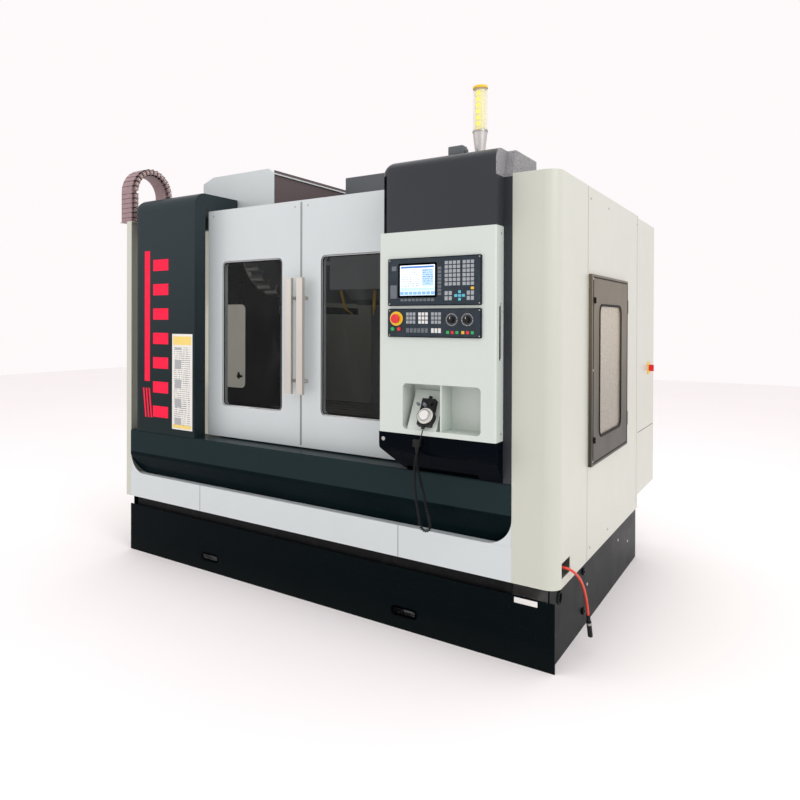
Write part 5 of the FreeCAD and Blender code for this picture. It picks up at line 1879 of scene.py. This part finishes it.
@dataclass
class RoofGear:
    """What stands on the roof: the tool magazine's cover, the head's cover and the cable chain."""

    chain_centre: tuple[float, float] = (-0.820, 2.133)
    chain_reach: float = 0.133
    links: int = 14
    leg_links: int = 6

    def dress(self) -> None:
        """Finish the CAD pieces."""
        dress(WHITE, "magazine_cover")
        dress(GREY, "motor_cover")
        dress(CHAIN, "drag_chain")

    def build(self) -> None:
        """Add link plates, pins and dark joints to the chain, then what is on the cover."""
        low, high = node_box("drag_chain")
        spots = []
        centre_y, centre_z = self.chain_centre
        reach = self.chain_reach
        for number in range(self.links):
            angle = math.pi * (number + 0.5) / self.links
            spots.append((centre_y - math.cos(angle) * reach, centre_z + math.sin(angle) * reach, angle))
        foot = low.z + 0.014
        for number in range(self.leg_links):
            z = foot + number * (centre_z - foot) / self.leg_links
            spots.append((centre_y - reach, z, 0.0))
            spots.append((centre_y + reach, z, 0.0))
        plates = Form("chain_plates")
        seams = Form("chain_seams")
        pins = Form("chain_pins")
        for y, z, angle in spots:
            turn = Matrix.Rotation(-angle, 4, "X")
            for x, out in ((high.x, 1), (low.x, -1)):
                plates.block(
                    (x - 0.001, y - 0.0145, z - 0.0115),
                    (x + 0.0022, y + 0.0145, z + 0.0115),
                    0.0012,
                    1,
                    turn,
                )
                pins.rod((x, y, z), (x + out * 0.0042, y, z), 0.0042, 0.0034, 14)
            ahead = Vector((0.0, math.sin(angle), math.cos(angle))) * 0.0150
            seams.block(
                (low.x - 0.0005, y + ahead.y - 0.0192, z + ahead.z - 0.0011),
                (high.x + 0.0005, y + ahead.y + 0.0192, z + ahead.z + 0.0011),
                turn=turn,
            )
        plates.place(CHAIN, "machine", "chain_plastic")
        seams.place(SEAL, "machine", "black_plastic")
        pins.place(PIN, "machine", "chain_plastic")
        self._cover()

    def _cover(self) -> None:
        """Add a dark panel at the cover's open end as painted shade, and the cover's screws."""
        low, high = node_box("magazine_cover")
        # The cover's open end shows only shade; this panel paints it dark brown-grey.
        end = Form("magazine_end_shade_panel").block(
            (high.x - 0.012, low.y + 0.016, low.z + 0.010),
            (high.x - 0.008, high.y - 0.006, high.z - 0.010),
        )
        end.place(COVER_END_SHADE, "machine", "white_paint")
        screws = Form("cover_screws")
        z = low.z + 0.05
        for x in (low.x + 0.03, (low.x + high.x) / 2, high.x - 0.06):
            screws.rod((x, low.y + 0.001, z), (x, low.y - 0.002, z), 0.006, 0.005, 16)
        screws.place(STEEL_PLAIN, "machine", "zinc_steel")


@dataclass
class Inside:
    """The machine behind the doors: castings, head, spindle, table, vise and tool changer."""

    vise_x: float = 0.30

    def dress(self) -> None:
        """Finish the CAD pieces."""
        dress(CASTING, "column_casting", "headstock", "magazine_bracket")
        dress(STEEL_X, "guide_rails")
        dress(IRON, "saddle", "table")
        dress(TOOL_STEEL, "spindle", "tool_change_arm")
        dress(ALUMINIUM, "magazine_drum")

    def build(self) -> None:
        """Add the vise, the tray, the infills beside the column and the coolant pipes."""
        top = node_box("table")[1].z
        vise = Form("vise_body")
        left, right = self.vise_x - 0.09, self.vise_x + 0.09
        vise.block((left, -0.52, top), (right, -0.12, top + 0.055), 0.004)
        vise.block((left, -0.17, top + 0.05), (right, -0.12, top + 0.105), 0.003)
        vise.block((left, -0.36, top + 0.05), (right, -0.30, top + 0.10), 0.003)
        vise.place(CASTING, "table", "casting")
        jaws = Form("vise_jaws")
        jaws.block((left + 0.005, -0.182, top + 0.060), (right - 0.005, -0.168, top + 0.103), 0.001)
        jaws.block((left + 0.005, -0.304, top + 0.060), (right - 0.005, -0.290, top + 0.103), 0.001)
        jaws.rod((self.vise_x, -0.53, top + 0.028), (self.vise_x, -0.30, top + 0.028), 0.014)
        jaws.place(TOOL_STEEL, "table", "ground_steel")
        tray = Form("chip_tray").block((-0.968, -0.776, 0.345), (0.968, 0.446, 0.350))
        tray.place(TRAY, "machine", "charcoal_paint")
        infill = Form("rear_infills")
        for side in (-1, 1):
            near, far = sorted((side * 0.279, side * 0.337))
            infill.block((near, 0.452, 0.485), (far, 0.456, 1.942))
        infill.place(WARM_LIT_WHITE, "machine", "cream_paint")
        pipes = Form("coolant_pipes")
        nose = node_box("spindle")[0].z
        for x in (-0.11, 0.11):
            bend = (x * 0.85, -0.41, nose - 0.02)
            pipes.rod((x, -0.43, nose + 0.08), bend, 0.008, sides=18)
            pipes.rod(bend, (x * 0.6, -0.37, nose - 0.055), 0.006, 0.0035, 18)
        pipes.place(KEY_YELLOW, "z_head", "yellow_plastic")


@dataclass
class Studio:
    """The camera, the pale floor and the soft light."""

    camera_place: tuple[float, float, float] = (2.03, -3.655, 1.362)
    pitch: float = 89.735
    roll: float = -0.158
    heading: float = 35.759
    lens: float = 30.83
    shift: tuple[float, float] = (0.1065, -0.0954)
    aim: tuple[float, float, float] = (0.0, -0.2, 1.1)
    floor_half: float = 14.0

    def build(self) -> None:
        """Make the camera, floor, lights and surroundings."""
        data = bpy.data.cameras.new("camera")
        data.sensor_width = 36.0
        data.lens = self.lens
        data.shift_x, data.shift_y = self.shift
        data.dof.use_dof = False
        camera = bpy.data.objects.new("camera", data)
        camera.location = self.camera_place
        turns = (self.pitch, self.roll, self.heading)
        camera.rotation_euler = tuple(math.radians(part) for part in turns)
        bpy.context.scene.collection.objects.link(camera)
        bpy.context.scene.camera = camera
        self._floor()
        self._light("key_light", (5.6, -3.0, 4.6), 4.2, 110.0)
        self._light("fill_light", (-4.2, -6.0, 3.6), 4.6, 30.0)
        self._light("top_light", (0.0, 0.0, 6.4), 6.0, 95.0)
        world = bpy.data.worlds.new("studio")
        world.use_nodes = True
        ground = world.node_tree.nodes["Background"]
        ground.inputs["Color"].default_value = tint(254, 249, 250)
        ground.inputs["Strength"].default_value = 1.0
        bpy.context.scene.world = world
        bpy.context.scene.view_settings.view_transform = "Standard"

    def _floor(self) -> None:
        """Make the plain pale floor."""
        shape = bmesh.new()
        bmesh.ops.create_grid(shape, x_segments=1, y_segments=1, size=self.floor_half)
        data = bpy.data.meshes.new("floor")
        shape.to_mesh(data)
        shape.free()
        shader = Shader("pale_floor")
        clouds = shader.noise(0.6, 2.0)
        base = shader.mix(tint(250, 247, 247), tint(246, 243, 243), clouds)
        shader.set(Base_Color=base, Roughness=0.85)
        data.materials.append(shader.material)
        floor = bpy.data.objects.new("floor", data)
        bpy.context.scene.collection.objects.link(floor)

    def _light(self, name: str, place: Point, width: float, power: float) -> None:
        """Add one soft light that looks at the machine.

        Args:
            name: Its name.
            place: Where it stands.
            width: The width of its square face.
            power: Its power in watts.
        """
        data = bpy.data.lights.new(name, "AREA")
        data.shape = "SQUARE"
        data.size = width
        data.energy = power
        light = bpy.data.objects.new(name, data)
        light.location = place
        ahead = Vector(self.aim) - Vector(place)
        light.rotation_euler = ahead.to_track_quat("-Z", "Y").to_euler()
        bpy.context.scene.collection.objects.link(light)


def main() -> None:
    """Build the scene: studio and free lines first, then each sub-assembly."""
    logging.basicConfig(level=logging.INFO, format="%(name)s: %(message)s")
    Studio().build()
    HandLead().build()
    AirHose().build()
    seam = (node_box("left_door_panel")[1].x + node_box("right_door_panel")[0].x) / 2
    assemblies = [
        Foundation(),
        Enclosure(),
        ColumnCover(),
        SlidingDoor("left", seam),
        SlidingDoor("right", seam),
        ControlStation(),
        HandPendant(),
        SideDoor(),
        SignalLamp(),
        Cabinet(),
        RoofGear(),
        Inside(),
    ]
    for assembly in assemblies:
        LOG.info("building %s", type(assembly).__name__)
        assembly.dress()
        assembly.build()


if __name__ == "__main__":
    main()
